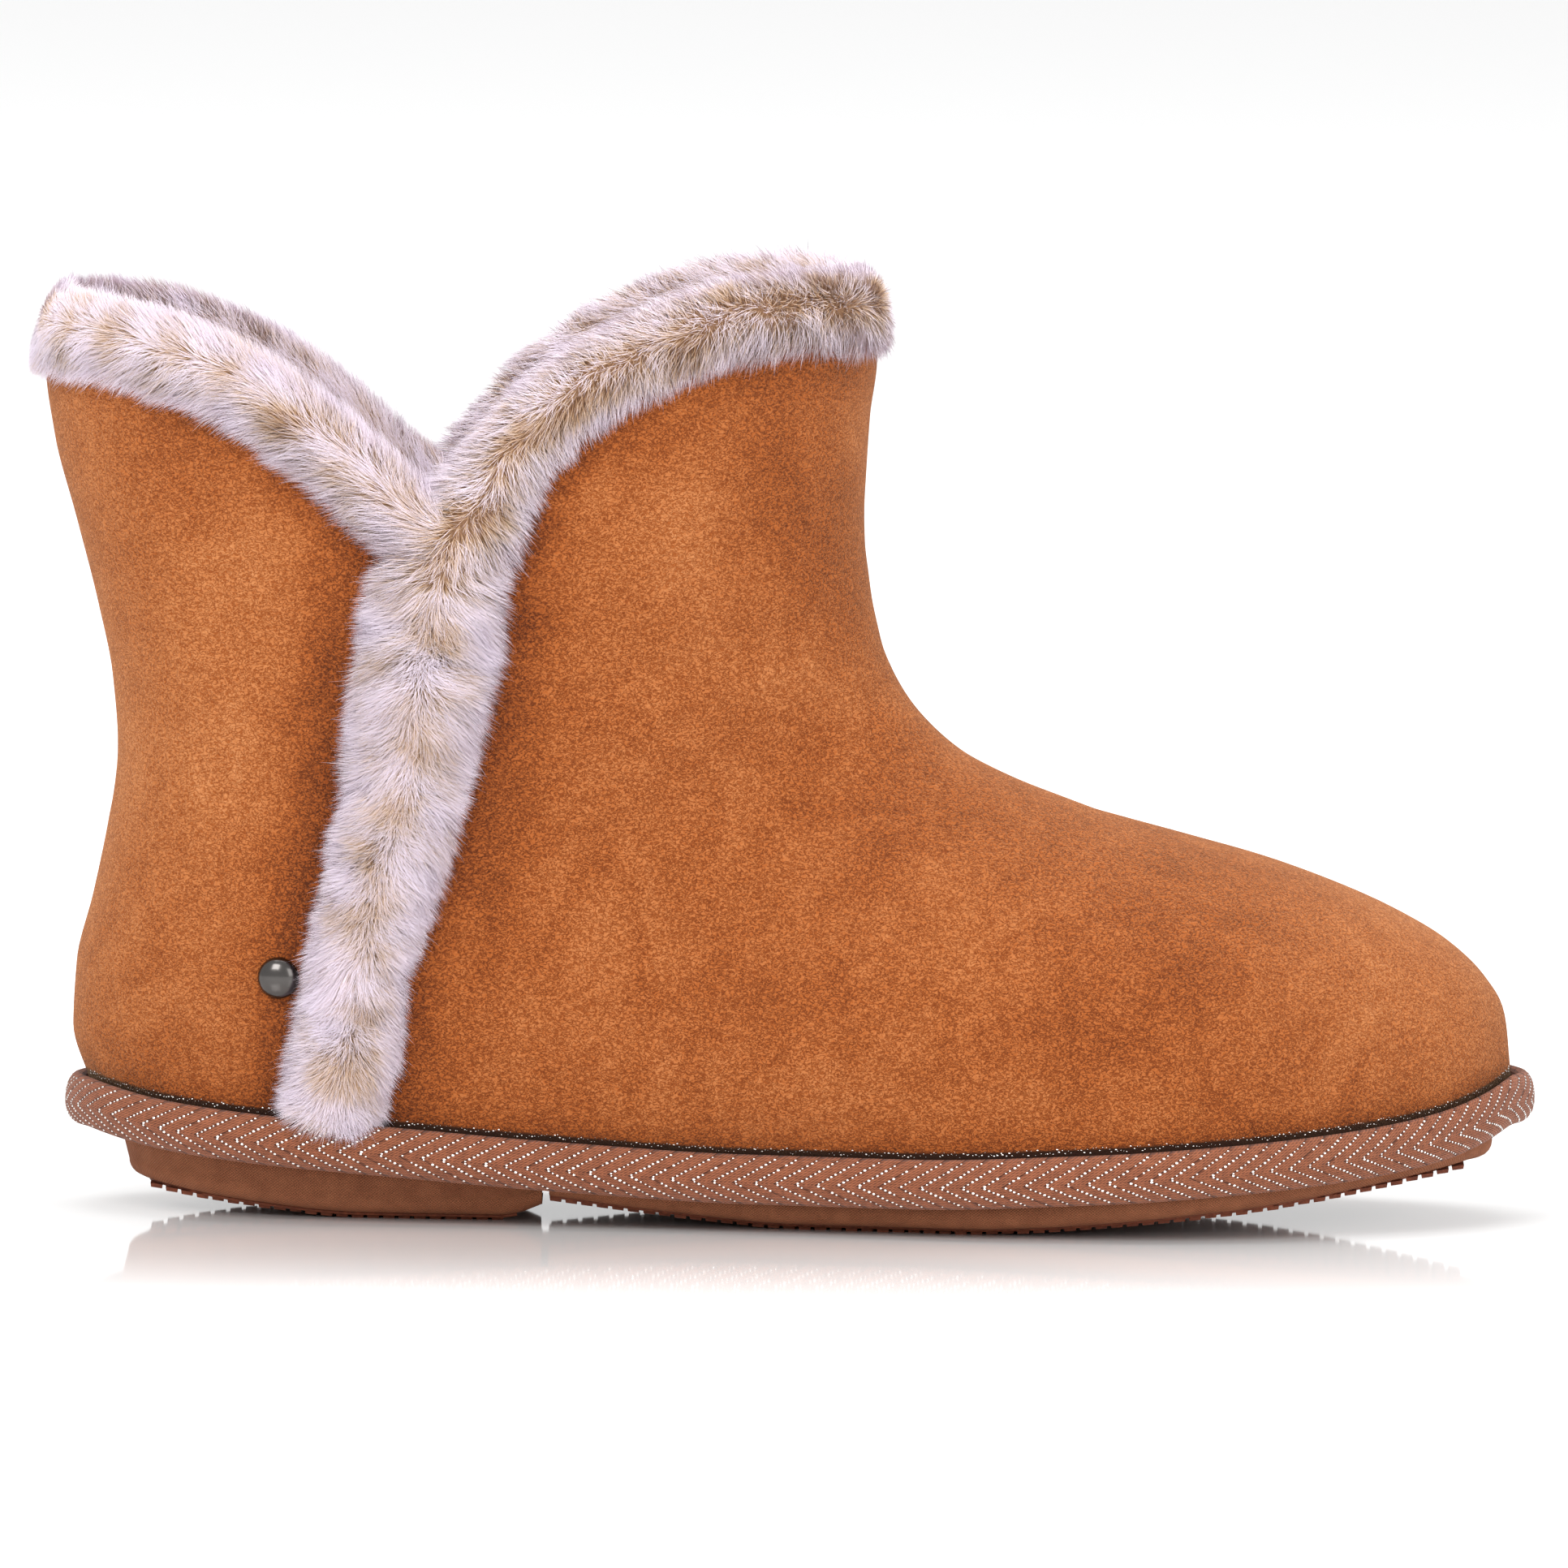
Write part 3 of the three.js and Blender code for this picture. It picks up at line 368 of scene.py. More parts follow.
class Finish:
    def __init__(self, name, **constants):
        self.material = bpy.data.materials.new(name)
        self.material.use_nodes = True
        self.tree = self.material.node_tree
        self.shader = self.tree.nodes["Principled BSDF"]
        for socket, value in constants.items():
            self.feed(self.shader.inputs[socket.replace("_", " ")], value)

    def feed(self, socket, value):
        if isinstance(value, Tone):
            self.tree.links.new(value.socket, socket)
        elif hasattr(value, "__len__") and len(value) == 3 and socket.type == "RGBA":
            socket.default_value = (*value, 1)
        else:
            socket.default_value = value

    def add(self, kind, settings=None, sockets=None, out=0):
        node = self.tree.nodes.new(kind)
        for key, value in (settings or {}).items():
            if key == "stops":
                for i, (place, colour) in enumerate(value):
                    elements = node.color_ramp.elements
                    stop = elements[i] if i < 2 else elements.new(place)
                    stop.position, stop.color = place, (*colour, 1)
            else:
                setattr(node, key, value)
        for key, value in (sockets or {}).items():
            self.feed(node.inputs[key], value)
        return Tone(self, node.outputs[out])

    def place(self):
        return self.add("ShaderNodeTexCoord", out="Object")

    def stretched(self, scale, turn=(0, 0, 0)):
        return self.add("ShaderNodeMapping", None, {"Vector": self.place(), "Scale": scale, "Rotation": turn})

    def noise(self, scale, detail=2, rough=0.5, vector=None, warp=0):
        sockets = {"Vector": vector or self.place(), "Scale": scale, "Detail": detail,
                   "Roughness": rough, "Distortion": warp}
        return self.add("ShaderNodeTexNoise", None, sockets)

    def attribute(self, name):
        return self.add("ShaderNodeAttribute", {"attribute_name": name}, out="Fac")

    def map(self, name):
        uv = self.add("ShaderNodeUVMap", {"uv_map": name})
        return (self.add("ShaderNodeSeparateXYZ", None, {0: uv}, out="X"),
                self.add("ShaderNodeSeparateXYZ", None, {0: uv}, out="Y"))

    def blend(self, factor, a, b):
        return self.add("ShaderNodeMix", {"data_type": "RGBA"}, {0: factor, 6: a, 7: b}, out=2)

    def ramp(self, factor, stops):
        return self.add("ShaderNodeValToRGB", {"stops": stops}, {0: factor})

    def bump(self, height, distance, strength=1.0):
        sockets = {"Height": height, "Distance": distance, "Strength": strength}
        self.feed(self.shader.inputs["Normal"], self.add("ShaderNodeBump", None, sockets))

    def colour(self, value):
        self.feed(self.shader.inputs["Base Color"], value)


def suedette_finish():
    """Brushed nap: wriggly grain, the shade attribute for brushed patches with painted light and shade, and
    painted crevice shade along the braid.
    """
    finish = Finish("suedette", Roughness=0.95, Specular_IOR_Level=0.12, Sheen_Weight=0.3,
                    Sheen_Roughness=0.45, Sheen_Tint=(0.95, 0.60, 0.34))
    worms = finish.noise(1350, 1.0, 0.5, finish.stretched((1, 1, 1.5), (0, 0.3, 0)), 0.7)
    fleck = finish.noise(2300, 1.0, 0.5, None, 0.4)
    brush = finish.noise(330, 3, 0.6, finish.stretched((1, 1, 1.3), (0, 0.5, 0)), 0.5)
    sweep = finish.noise(62, 3, 0.5, finish.stretched((1, 1, 0.8), (0, 0.6, 0)), 1.2)
    cloud = finish.noise(19, 2, 0.5, None, 0.5)
    gaps = (abs(worms - 0.5) * 9.0).between(0.0, 1.0)
    grain = (gaps - 0.72) * 0.65 + (fleck - 0.5) * 0.8
    # The shade attribute holds brushed patches with painted light and shade, and painted shade beside the fur
    # and the braid.
    shade = finish.attribute("shade")
    mottle = (brush - 0.5) * 0.16 + (sweep - 0.5) * 0.34 + (cloud - 0.5) * 0.22
    tone = shade + 0.02 + grain * 0.5 + mottle
    nap = finish.ramp(tone, [
        (0.0, (0.070, 0.016, 0.005)), (1.0, (0.56, 0.26, 0.115)),
        (0.25, (0.185, 0.041, 0.008)), (0.5, (0.32, 0.086, 0.019)), (0.75, (0.44, 0.160, 0.054)),
    ])
    # Painted shade of the crevice: the nap turns near-black in a band just above the braid.
    crevice_shade = 1 - finish.attribute("seam").between(0.75, 1.35)
    finish.colour(finish.blend(crevice_shade, nap, (0.022, 0.008, 0.005)))
    finish.bump(grain + brush * 0.8, 0.5 * MM, 0.6)
    return finish.material


def plush_finish(name, deep, lit):
    finish = Finish(name, Roughness=0.95, Specular_IOR_Level=0.1, Sheen_Weight=0.3, Sheen_Roughness=0.5)
    tufts = finish.noise(420, 4, 0.7, None, 0.7)
    lay = finish.noise(70, 2, 0.5)
    finish.colour(finish.ramp(tufts * 0.75 + lay * 0.25, [(0.3, deep), (0.68, lit)]))
    finish.bump(tufts + lay * 0.6, 1.4 * MM, 0.8)
    return finish.material


def canvas_finish():
    """Plain weave on the sole's own map, in millimetres."""
    finish = Finish("canvas", Roughness=0.85, Specular_IOR_Level=0.25)
    u, v = finish.map("cloth")
    warp = (u * (2 * math.pi / 0.62)).sine()
    weft = (v * (2 * math.pi / 0.55)).sine()
    weave = warp * weft * 0.5 + 0.5
    slub = finish.noise(260, 3, 0.6)
    tone = weave * 0.45 + slub * 0.55
    finish.colour(finish.ramp(tone, [(0.2, (0.165, 0.052, 0.022)), (0.85, (0.36, 0.135, 0.062))]))
    finish.bump(weave + slub * 0.5, 0.18 * MM, 0.8)
    return finish.material


def rubber_finish():
    finish = Finish("tread_rubber", Roughness=0.62, Specular_IOR_Level=0.4)
    speck = finish.noise(900, 3, 0.6)
    finish.colour(finish.ramp(speck, [(0.3, (0.13, 0.028, 0.010)), (0.7, (0.24, 0.060, 0.022))]))
    finish.bump(speck, 0.08 * MM)
    return finish.material


BRAID_PITCH = 3.73
BRAID_VERTEX = 0.45
BRAID_SLOPES = (20.0, 15.0)


def braid_slant(v):
    """How far along the tape, in millimetres, a chevron has run at v across it."""
    below, above = BRAID_SLOPES
    rise = v - BRAID_VERTEX
    return abs(rise) * ((above + below) / 2) + rise * ((above - below) / 2)


def braid_finish():
    """Herringbone tape: u runs along it in millimetres, v across it from 0 to 1."""
    finish = Finish("braid_tape", Roughness=0.8, Specular_IOR_Level=0.2, Sheen_Weight=0.12)
    u, v = finish.map("cloth")
    run = (u - braid_slant(v)) / BRAID_PITCH
    beside_silver = abs(run % 1.0 - 0.5) * 2
    # Painted shadow beside each row of silver beads, also sunk as a groove in the bump.
    shadowed_groove = beside_silver.between(0.68, 0.9)
    twill = (run * (2 * math.pi * 5)).sine() * 0.5 + 0.5
    pick = (v * (2 * math.pi * 19)).sine() * 0.5 + 0.5
    fuzz = finish.noise(900, 2, 0.6)
    tone = twill * 0.3 + pick * 0.2 + fuzz * 0.6 - shadowed_groove * 0.34
    finish.colour(finish.ramp(tone, [(0.12, (0.065, 0.018, 0.008)), (0.9, (0.36, 0.120, 0.056))]))
    finish.bump(twill * 0.5 + pick * 0.3 + fuzz * 0.3 - shadowed_groove * 0.5, 0.25 * MM, 0.9)
    return finish.material


def fur_finish():
    """u is the tint of a hair and v runs from its root to its tip."""
    finish = Finish("faux_fur", Roughness=0.75, Specular_IOR_Level=0.2, Sheen_Weight=0.2, Sheen_Roughness=0.4)
    tint, along = finish.map("hair")
    finish.colour(finish.ramp(along * 0.75 + tint * 0.7 - 0.2, [
        (0.0, (0.30, 0.150, 0.080)), (1.0, (0.84, 0.75, 0.87)),
        (0.25, (0.50, 0.30, 0.165)), (0.45, (0.66, 0.49, 0.38)), (0.66, (0.78, 0.67, 0.73)),
    ]))
    return finish.material


SUEDETTE = suedette_finish()
LINING = plush_finish("plush_lining", (0.52, 0.39, 0.33), (0.88, 0.79, 0.77))
CANVAS = canvas_finish()
RUBBER = rubber_finish()
BRAID = braid_finish()
FUR = fur_finish()
FUR_ROOTS = Finish("fur_roots", Base_Color=(0.30, 0.17, 0.10), Roughness=1.0,
                   Specular_IOR_Level=0.05).material
SILVER = Finish("silver_thread", Base_Color=(0.86, 0.83, 0.80), Metallic=1.0, Roughness=0.28).material
GUNMETAL = Finish("gunmetal", Base_Color=(0.085, 0.078, 0.074), Metallic=1.0, Roughness=0.22,
                  Coat_Weight=0.2).material


# Making pieces
def select_only(obj):
    bpy.ops.object.select_all(action="DESELECT")
    obj.select_set(True)
    bpy.context.view_layer.objects.active = obj


def finish_piece(obj, replaced=()):
    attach(obj, "root")
    if replaced:
        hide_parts(*replaced)
    return obj


def laid_grid(name, points, materials, uv=None, values=None):
    """A grid primitive laid over rows of points; its seams are merged and its faces turned outwards."""
    rows, columns = points.shape[:2]
    bpy.ops.object.select_all(action="DESELECT")
    bpy.ops.mesh.primitive_grid_add(x_subdivisions=columns - 1, y_subdivisions=rows - 1, size=1)
    obj = bpy.context.object
    obj.name = obj.data.name = name
    mesh = obj.data
    mesh.vertices.foreach_set("co", points.reshape(-1))
    if uv is not None:
        layer = mesh.uv_layers[0]
        layer.name = "cloth"
        corner = np.empty(len(mesh.loops), int)
        mesh.loops.foreach_get("vertex_index", corner)
        layer.data.foreach_set("uv", uv.reshape(-1, 2)[corner].reshape(-1))
    for key, value in (values or {}).items():
        mesh.attributes.new(key, "FLOAT", "POINT").data.foreach_set("value", value.reshape(-1))
    for material in materials:
        mesh.materials.append(material)
    select_only(obj)
    bpy.ops.object.mode_set(mode="EDIT")
    bpy.ops.mesh.select_all(action="SELECT")
    bpy.ops.mesh.remove_doubles(threshold=0.004 * MM)
    bpy.ops.mesh.normals_make_consistent(inside=False)
    bpy.ops.object.mode_set(mode="OBJECT")
    bpy.ops.object.shade_smooth()
    return obj


def from_arrays(name, vertices, faces, material, smooth=True, uv=None, normals=None):
    """Many small alike things as one mesh; faces is an array of equal polygons."""
    mesh = bpy.data.meshes.new(name)
    sides = faces.shape[1]
    mesh.vertices.add(len(vertices))
    mesh.vertices.foreach_set("co", vertices.astype(np.float32).reshape(-1))
    mesh.loops.add(faces.size)
    mesh.loops.foreach_set("vertex_index", faces.astype(np.int32).reshape(-1))
    mesh.polygons.add(len(faces))
    mesh.polygons.foreach_set("loop_start", np.arange(0, faces.size, sides, dtype=np.int32))
    mesh.polygons.foreach_set("use_smooth", np.full(len(faces), smooth))
    mesh.update(calc_edges=True)
    if uv is not None:
        layer = mesh.uv_layers.new(name="hair")
        layer.data.foreach_set("uv", uv[faces.reshape(-1)].astype(np.float32).reshape(-1))
    if normals is not None:
        mesh.normals_split_custom_set_from_vertices(normals.tolist())
    mesh.materials.append(material)
    obj = bpy.data.objects.new(name, mesh)
    bpy.context.scene.collection.objects.link(obj)
    return obj


def outline_loop(offset, height, start=HEEL_X, end=TOE_X, half_steps=170):
    """A loop round the sole outline, moved outward by offset; height gives z from x."""
    i = np.arange(half_steps + 1)
    low, high = roundness(share_of(start)), roundness(share_of(end))

    def x_at(k):
        return HEEL_X + FOOT_LENGTH * (1 - np.cos(lerp(low, high, k / half_steps))) / 2

    def side(edge, other, turn):
        def point(k):
            mirrored_low = (k < 0) & (start == HEEL_X)
            mirrored_high = (k > half_steps) & (end == TOE_X)
            folded = np.where(mirrored_low, -k, np.where(mirrored_high, 2 * half_steps - k, k))
            x = x_at(folded)
            return np.stack([x, np.where(mirrored_low | mirrored_high, other(x), edge(x))], -1)

        run = point(i + 1) - point(i - 1)
        outward = unit(np.stack([run[:, 1], -run[:, 0]], -1)) * turn
        moved = point(i) + outward * offset
        if start != HEEL_X:
            moved[:, 0] = np.maximum(moved[:, 0], start)
        if end != TOE_X:
            moved[:, 0] = np.minimum(moved[:, 0], end)
        return moved

    flat = np.concatenate([side(outer_y, inner_y, 1), side(inner_y, outer_y, -1)[::-1]])
    return np.concatenate([flat, height(flat[:, :1])], -1)


def arc_lengths(loop):
    steps = np.linalg.norm(np.diff(loop, axis=0), axis=1)
    return np.concatenate([[0], np.cumsum(steps)])


def sole_stack(name, levels, material, start=HEEL_X, end=TOE_X):
    """A solid from levels of the sole outline; each end is closed across the foot."""
    loops = [outline_loop(offset, height, start, end) for offset, height in levels]
    for at, loop in ((0, loops[0]), (len(loops) + 1, loops[-1])):
        middle = loop.copy()
        middle[:, 1] = (loop[:, 1] + loop[::-1, 1]) / 2
        loops.insert(at, middle)
    points = np.stack(loops)
    points = np.concatenate([points, points[:, :1]], 1)
    u = arc_lengths(points[len(levels) // 2]) / MM
    rise = np.linalg.norm(np.diff(points, axis=0), axis=2).max(1)
    v = np.concatenate([[0], np.cumsum(rise)]) / MM
    uv = np.stack(np.broadcast_arrays(u, v[:, None]), -1)
    return laid_grid(name, points, [material], uv)


# Creases: a line of places along the foot and up in millimetres, its width, and its depth (minus is a trough)
CREASES = [
    ([(98, 122), (84, 112), (62, 104), (38, 100)], 9.0, -1.1),
    ([(99, 108), (86, 99), (66, 92), (44, 90)], 7.5, 0.7),
    ([(102, 96), (92, 88), (76, 81), (58, 78)], 7.0, -0.8),
    ([(58, 140), (56, 124), (50, 112)], 9.0, -0.9),
    ([(44, 146), (40, 128), (36, 112)], 10.0, 0.6),
    ([(-46, 138), (-38, 120), (-32, 104)], 8.0, -0.9),
    ([(-60, 128), (-52, 108), (-46, 92)], 9.0, 0.5),
    ([(-58, 96), (-46, 84), (-34, 76)], 8.0, -0.7),
    ([(-60, 60), (-48, 52), (-36, 50)], 10.0, 0.5),
    ([(128, 62), (122, 50), (118, 38)], 9.0, -0.6),
    ([(106, 70), (102, 54), (96, 40)], 11.0, -0.7),
    ([(150, 54), (146, 42), (142, 32)], 9.0, 0.4),
    ([(20, 60), (40, 50), (62, 46)], 12.0, -0.6),
    ([(24, 84), (44, 72), (68, 66)], 12.0, 0.6),
]
# Patches of the nap, partly brushed nap and partly painted light and shade: place along and up, reach each
# way, and how much lighter (minus is darker)
PATCHES = [
    (-34, 116, 14, 10, 0.10), (-40, 82, 16, 22, 0.10), (-48, 140, 14, 9, -0.04), (-20, 100, 6, 26, -0.14),
    (-22, 76, 6, 22, -0.10), (-26, 50, 5, 18, -0.08), (-46, 52, 10, 12, 0.02), (-50, 36, 12, 10, 0.05),
    (46, 126, 13, 18, 0.10), (62, 132, 12, 22, -0.14), (34, 142, 22, 7, -0.10), (70, 116, 12, 14, -0.10),
    (52, 100, 30, 9, 0.06), (16, 90, 6, 26, -0.10), (10, 60, 6, 22, -0.08), (66, 96, 14, 7, 0.05),
    (88, 96, 8, 12, -0.04), (80, 76, 28, 11, -0.06), (106, 80, 24, 7, 0.02), (120, 60, 34, 18, -0.07),
    (60, 40, 26, 14, -0.08), (112, 34, 26, 9, -0.08), (140, 56, 16, 9, -0.04), (160, 46, 12, 10, 0.02),
    (130, 44, 14, 8, -0.06), (90, 56, 18, 8, 0.04), (176, 40, 10, 12, 0.02), (30, 52, 12, 10, 0.03),
]


def distance_to_line(x, z, line):
    nearest = np.full(x.shape, 1e9)
    for (ax, az), (bx, bz) in zip(line[:-1], line[1:]):
        run_x, run_z = bx - ax, bz - az
        f = np.clip(((x - ax) * run_x + (z - az) * run_z) / (run_x ** 2 + run_z ** 2), 0, 1)
        nearest = np.minimum(nearest, np.hypot(x - ax - run_x * f, z - az - run_z * f))
    return nearest


# Edges of the fur, along and up in millimetres
STRIP_EDGES = [  # up, back edge, front edge
    (15, -28.5, -12.0), (19, -27.6, -9.0), (23.5, -26.6, -6.4), (31, -25.6, -5.5), (45, -23.0, -4.3),
    (55, -21.0, -1.5), (61, -19.8, 1.6), (72, -17.4, 4.2), (84, -16.3, 7.3), (93, -15.4, 8.9),
    (103, -14.6, 11.3), (112, -13.2, 12.9), (119, -11.5, 13.6), (126, -8.5, 16.0),
]
CUFF_EDGE = [
    (-75, 149), (-71.4, 151.2), (-64.5, 153.7), (-57, 151.6), (-50, 148.4), (-42.7, 145), (-35.3, 140.3),
    (-28, 135.3), (-20.6, 130.4), (-16.3, 124.6), (-13.3, 120.3), (15.6, 125.2), (19.8, 132.5), (25.6, 138.4),
    (28.4, 145.6), (35.6, 148.6), (44.3, 153.1), (51.4, 155), (58.7, 155.5), (65.9, 155.2), (77.6, 151.9),
    (90, 150),
]


def upper_shade(points):
    """Lightness of the nap at each place, about 0.5: brushed patches partly painted light and shade, and
    painted shade beside the fur and the braid.
    """
    x, z = points[..., 0] / MM, points[..., 2] / MM
    shade = np.full(x.shape, 0.5)
    # Patches: brushed nap and painted light and shade in one.
    for px, pz, rx, rz, lift in PATCHES:
        shade += lift * fade(x - px, rx) * fade(z - pz, rz)
    ups, backs, fronts = zip(*STRIP_EDGES)
    back, front = np.interp(z, ups, backs), np.interp(z, ups, fronts)
    beside = np.maximum(np.maximum(back - x, x - front), 0)
    strip_top = 128
    # Painted shadow of the fur strip on the nap beside it, wider on the strip's front side.
    shade -= (0.20 * fade(beside, 5) + 0.08 * fade(beside, 14) * (x > front)) * (z < strip_top)
    edge_x, edge_z = zip(*CUFF_EDGE)
    below = np.maximum(np.interp(x, edge_x, edge_z) - z, 0)
    # Painted shadow on the nap under the cuff fur.
    shade -= 0.16 * fade(below, 6)
    # Painted shade of the crevice on the nap above the braid.
    above_braid = np.maximum(z - crevice_z(points[..., 0]) / MM, 0)
    return shade - 0.16 * fade(above_braid, 3) - 0.07 * fade(above_braid, 12)


def grid_normals(points):
    down = np.gradient(points, axis=0)
    over = np.gradient(points, axis=1)
    return unit(np.cross(down, over))


def make_upper():
    shaft_rows, foot_rows, columns = 84, 104, 150
    s = np.linspace(-1, 1, columns + 1)
    top = rim_row(s)
    shaft = lerp(top[None], HEEL_ROW, np.linspace(0, 1, shaft_rows + 1)[:, None])
    foot = lerp(HEEL_ROW, LAST_ROW, np.linspace(0, 1, foot_rows + 1)[1:, None] ** HEEL_CROWDING)
    t = np.concatenate([shaft, np.broadcast_to(foot, (foot_rows, columns + 1))])
    points = last_point(t, np.broadcast_to(s, t.shape))
    normals = grid_normals(points)
    x, y, z = np.moveaxis(points, -1, 0) / MM
    above_crevice = z - crevice_z(points[..., 0]) / MM
    relief = sum(depth * fade(distance_to_line(x, z, line), width) for line, width, depth in CREASES)
    swell = 0.18 * np.sin(x / 11 + z / 17) * np.sin(z / 13 - x / 23 + y / 9)
    off_base = 1 - np.abs(s) ** 6
    lift = (relief * np.abs(s) + swell) * off_base * np.clip(above_crevice / 8, 0, 1)
    moved = points + normals * lift[..., None] * MM
    moved[:shaft_rows + 1, 0] = moved[:shaft_rows + 1, -1] = points[:shaft_rows + 1, 0]
    moved[-1] = points[-1]
    values = {"shade": upper_shade(points), "seam": above_crevice}
    upper = laid_grid("upper_shell", moved, [SUEDETTE, LINING], values=values)
    select_only(upper)
    wall = upper.modifiers.new("wall", "SOLIDIFY")
    wall.thickness, wall.offset = UPPER_WALL, -1
    wall.use_even_offset = False
    wall.material_offset = wall.material_offset_rim = 1
    bpy.ops.object.modifier_apply(modifier="wall")
    return finish_piece(upper, ["upper"])


def platform_bottom(x):
    return crevice_z(x) - BRAID_HEIGHT + PLATFORM_TUCK


def platform_top(x):
    return feather_z(x) - PIECE_GAP


spring_x = along_x(0.97)
fore_curve = smooth_table(
    [HEEL_FRONT, (HEEL_FRONT + FORE_REST_START) / 2, FORE_REST_START,
     FORE_REST_END, (FORE_REST_END + spring_x) / 2, spring_x],
    [ARCH_LIFT, ARCH_LIFT * 0.38, 0, 0, TOE_SPRING * 0.32, TOE_SPRING])
heel_curve = smooth_table(
    [-52 * MM, -32 * MM, -HEEL_REST, HEEL_REST, HEEL_TREAD_FRONT, HEEL_FRONT],
    [HEEL_BACK_LIFT, HEEL_BACK_LIFT * 0.36, 0, 0, ARCH_LIFT * 0.1, ARCH_LIFT * 0.5])


def fore_bottom(x):
    return np.where((x >= FORE_REST_START) & (x <= FORE_REST_END), 0, fore_curve(x))


def heel_bottom(x):
    return np.where(np.abs(x) <= HEEL_REST, 0, heel_curve(x))


def raised(line, lift):
    return lambda x: line(x) + lift


def rounded_levels(inset, radius, bottom, top, count=5):
    """Levels of a side with a rounded lower edge."""
    levels = []
    for k in range(count + 1):
        turn = k / count * math.pi / 2
        inward, lift = radius * (1 - math.sin(turn)), radius * (1 - math.cos(turn))
        levels.append((-inset - inward, raised(bottom, lift)))
    return levels + [(-inset, top)]


def make_sole():
    platform_levels = rounded_levels(0, 1.0 * MM, platform_bottom, platform_top)
    platform = sole_stack("platform_cloth", platform_levels, CANVAS)
    finish_piece(platform, ["sole_platform"])
    base_bottom, wedge_bottom = (raised(bottom, TREAD_THICKNESS) for bottom in (fore_bottom, heel_bottom))
    base_levels = rounded_levels(3.2 * MM, 2.8 * MM, base_bottom, platform_bottom)
    base = sole_stack("forefoot_cloth", base_levels, CANVAS, HEEL_FRONT + ARCH_GAP)
    finish_piece(base, ["forefoot_base"])
    wedge_levels = rounded_levels(7.3 * MM, 3.0 * MM, wedge_bottom, None, 7)[:-1]
    wedge_levels += [(-6.5 * MM, lambda x: lerp(wedge_bottom(x), platform_bottom(x), 0.6)),
                     (-5.7 * MM, platform_bottom)]
    wedge = sole_stack("heel_cloth", wedge_levels, CANVAS, HEEL_X, HEEL_FRONT)
    finish_piece(wedge, ["heel_wedge"])
    footbed_edge = UPPER_WALL + 1.6 * MM
    footbed = sole_stack("footbed", [
        (-footbed_edge, platform_top), (-footbed_edge, raised(platform_top, 3.0 * MM)),
        (-footbed_edge - 0.4 * MM, raised(platform_top, 4.2 * MM)),
        (-footbed_edge - 1.5 * MM, raised(platform_top, FOOTBED))], LINING)
    finish_piece(footbed, ["insole"])


def make_tread(name, start, end, inset, bottom):
    """A thin rubber sheet with rows of small nubs across the foot."""
    levels = [(-inset, raised(bottom, lift)) for lift in (NUB_HEIGHT, TREAD_THICKNESS)]
    sheet = sole_stack(name + "_sheet", levels, RUBBER, start, end)
    finish_piece(sheet, [name])
    low = max(start, HEEL_X) + (inset if start == HEEL_X else 0)
    high = min(end, TOE_X) - (inset if end == TOE_X else 0)
    centres = []
    for x in np.arange(low + NUB_PITCH / 2, high - NUB_PITCH / 2, NUB_PITCH):
        reach_low, reach_high = outer_y(x) + inset * 1.05, inner_y(x) - inset * 1.05
        count = int((reach_high - reach_low) // NUB_PITCH)
        spare = reach_high - reach_low - count * NUB_PITCH
        centres += [(x, reach_low + spare / 2 + (k + 0.5) * NUB_PITCH) for k in range(count)]
    centres = np.array(centres)
    corners = np.array([(-1, -1), (1, -1), (1, 1), (-1, 1)]) * NUB_LENGTH / 2
    foot = (centres[:, None] + corners * 0.9).reshape(-1, 2)
    root = (centres[:, None] + corners).reshape(-1, 2)
    low_ring = np.concatenate([foot, bottom(foot[:, :1])], 1).reshape(-1, 4, 3)
    high_ring = np.concatenate([root, bottom(root[:, :1]) + NUB_HEIGHT + 0.1 * MM], 1).reshape(-1, 4, 3)
    vertices = np.concatenate([low_ring, high_ring], 1).reshape(-1, 3)
    box = np.array([(0, 3, 2, 1), (0, 1, 5, 4), (1, 2, 6, 5), (2, 3, 7, 6), (3, 0, 4, 7), (4, 5, 6, 7)])
    faces = (box[None] + np.arange(len(centres))[:, None, None] * 8).reshape(-1, 4)
    finish_piece(from_arrays(name + "_nubs", vertices, faces, RUBBER, smooth=False))


BRAID_SECTION = [
    (0.00, 0.08), (0.16, 0.01), (0.35, 0.00), (0.62, 0.03), (0.84, 0.14), (0.97, 0.28), (1.00, 0.42),
    (0.99, 0.58), (0.93, 0.74), (0.80, 0.88), (0.62, 0.97), (0.42, 1.00), (0.24, 0.95), (0.10, 0.80),
]


def closed_curve(points, count):
    """Even places on a smooth closed curve through the points."""
    points = np.array(points, float)
    n = len(points)
    fine = np.linspace(0, n, n * 24, endpoint=False)
    i, f = fine.astype(int), (fine % 1)[:, None]
    a, b, c, d = (points[(i + k) % n] for k in (-1, 0, 1, 2))
    square, cube = 2 * a - 5 * b + 4 * c - d, 3 * b - a - 3 * c + d
    curve = 0.5 * (2 * b + (c - a) * f + square * f ** 2 + cube * f ** 3)
    closed = np.concatenate([curve, curve[:1]])
    lengths = arc_lengths(closed)
    places = np.linspace(0, lengths[-1], count + 1)
    return np.stack([np.interp(places, lengths, closed[:, k]) for k in range(2)], -1)


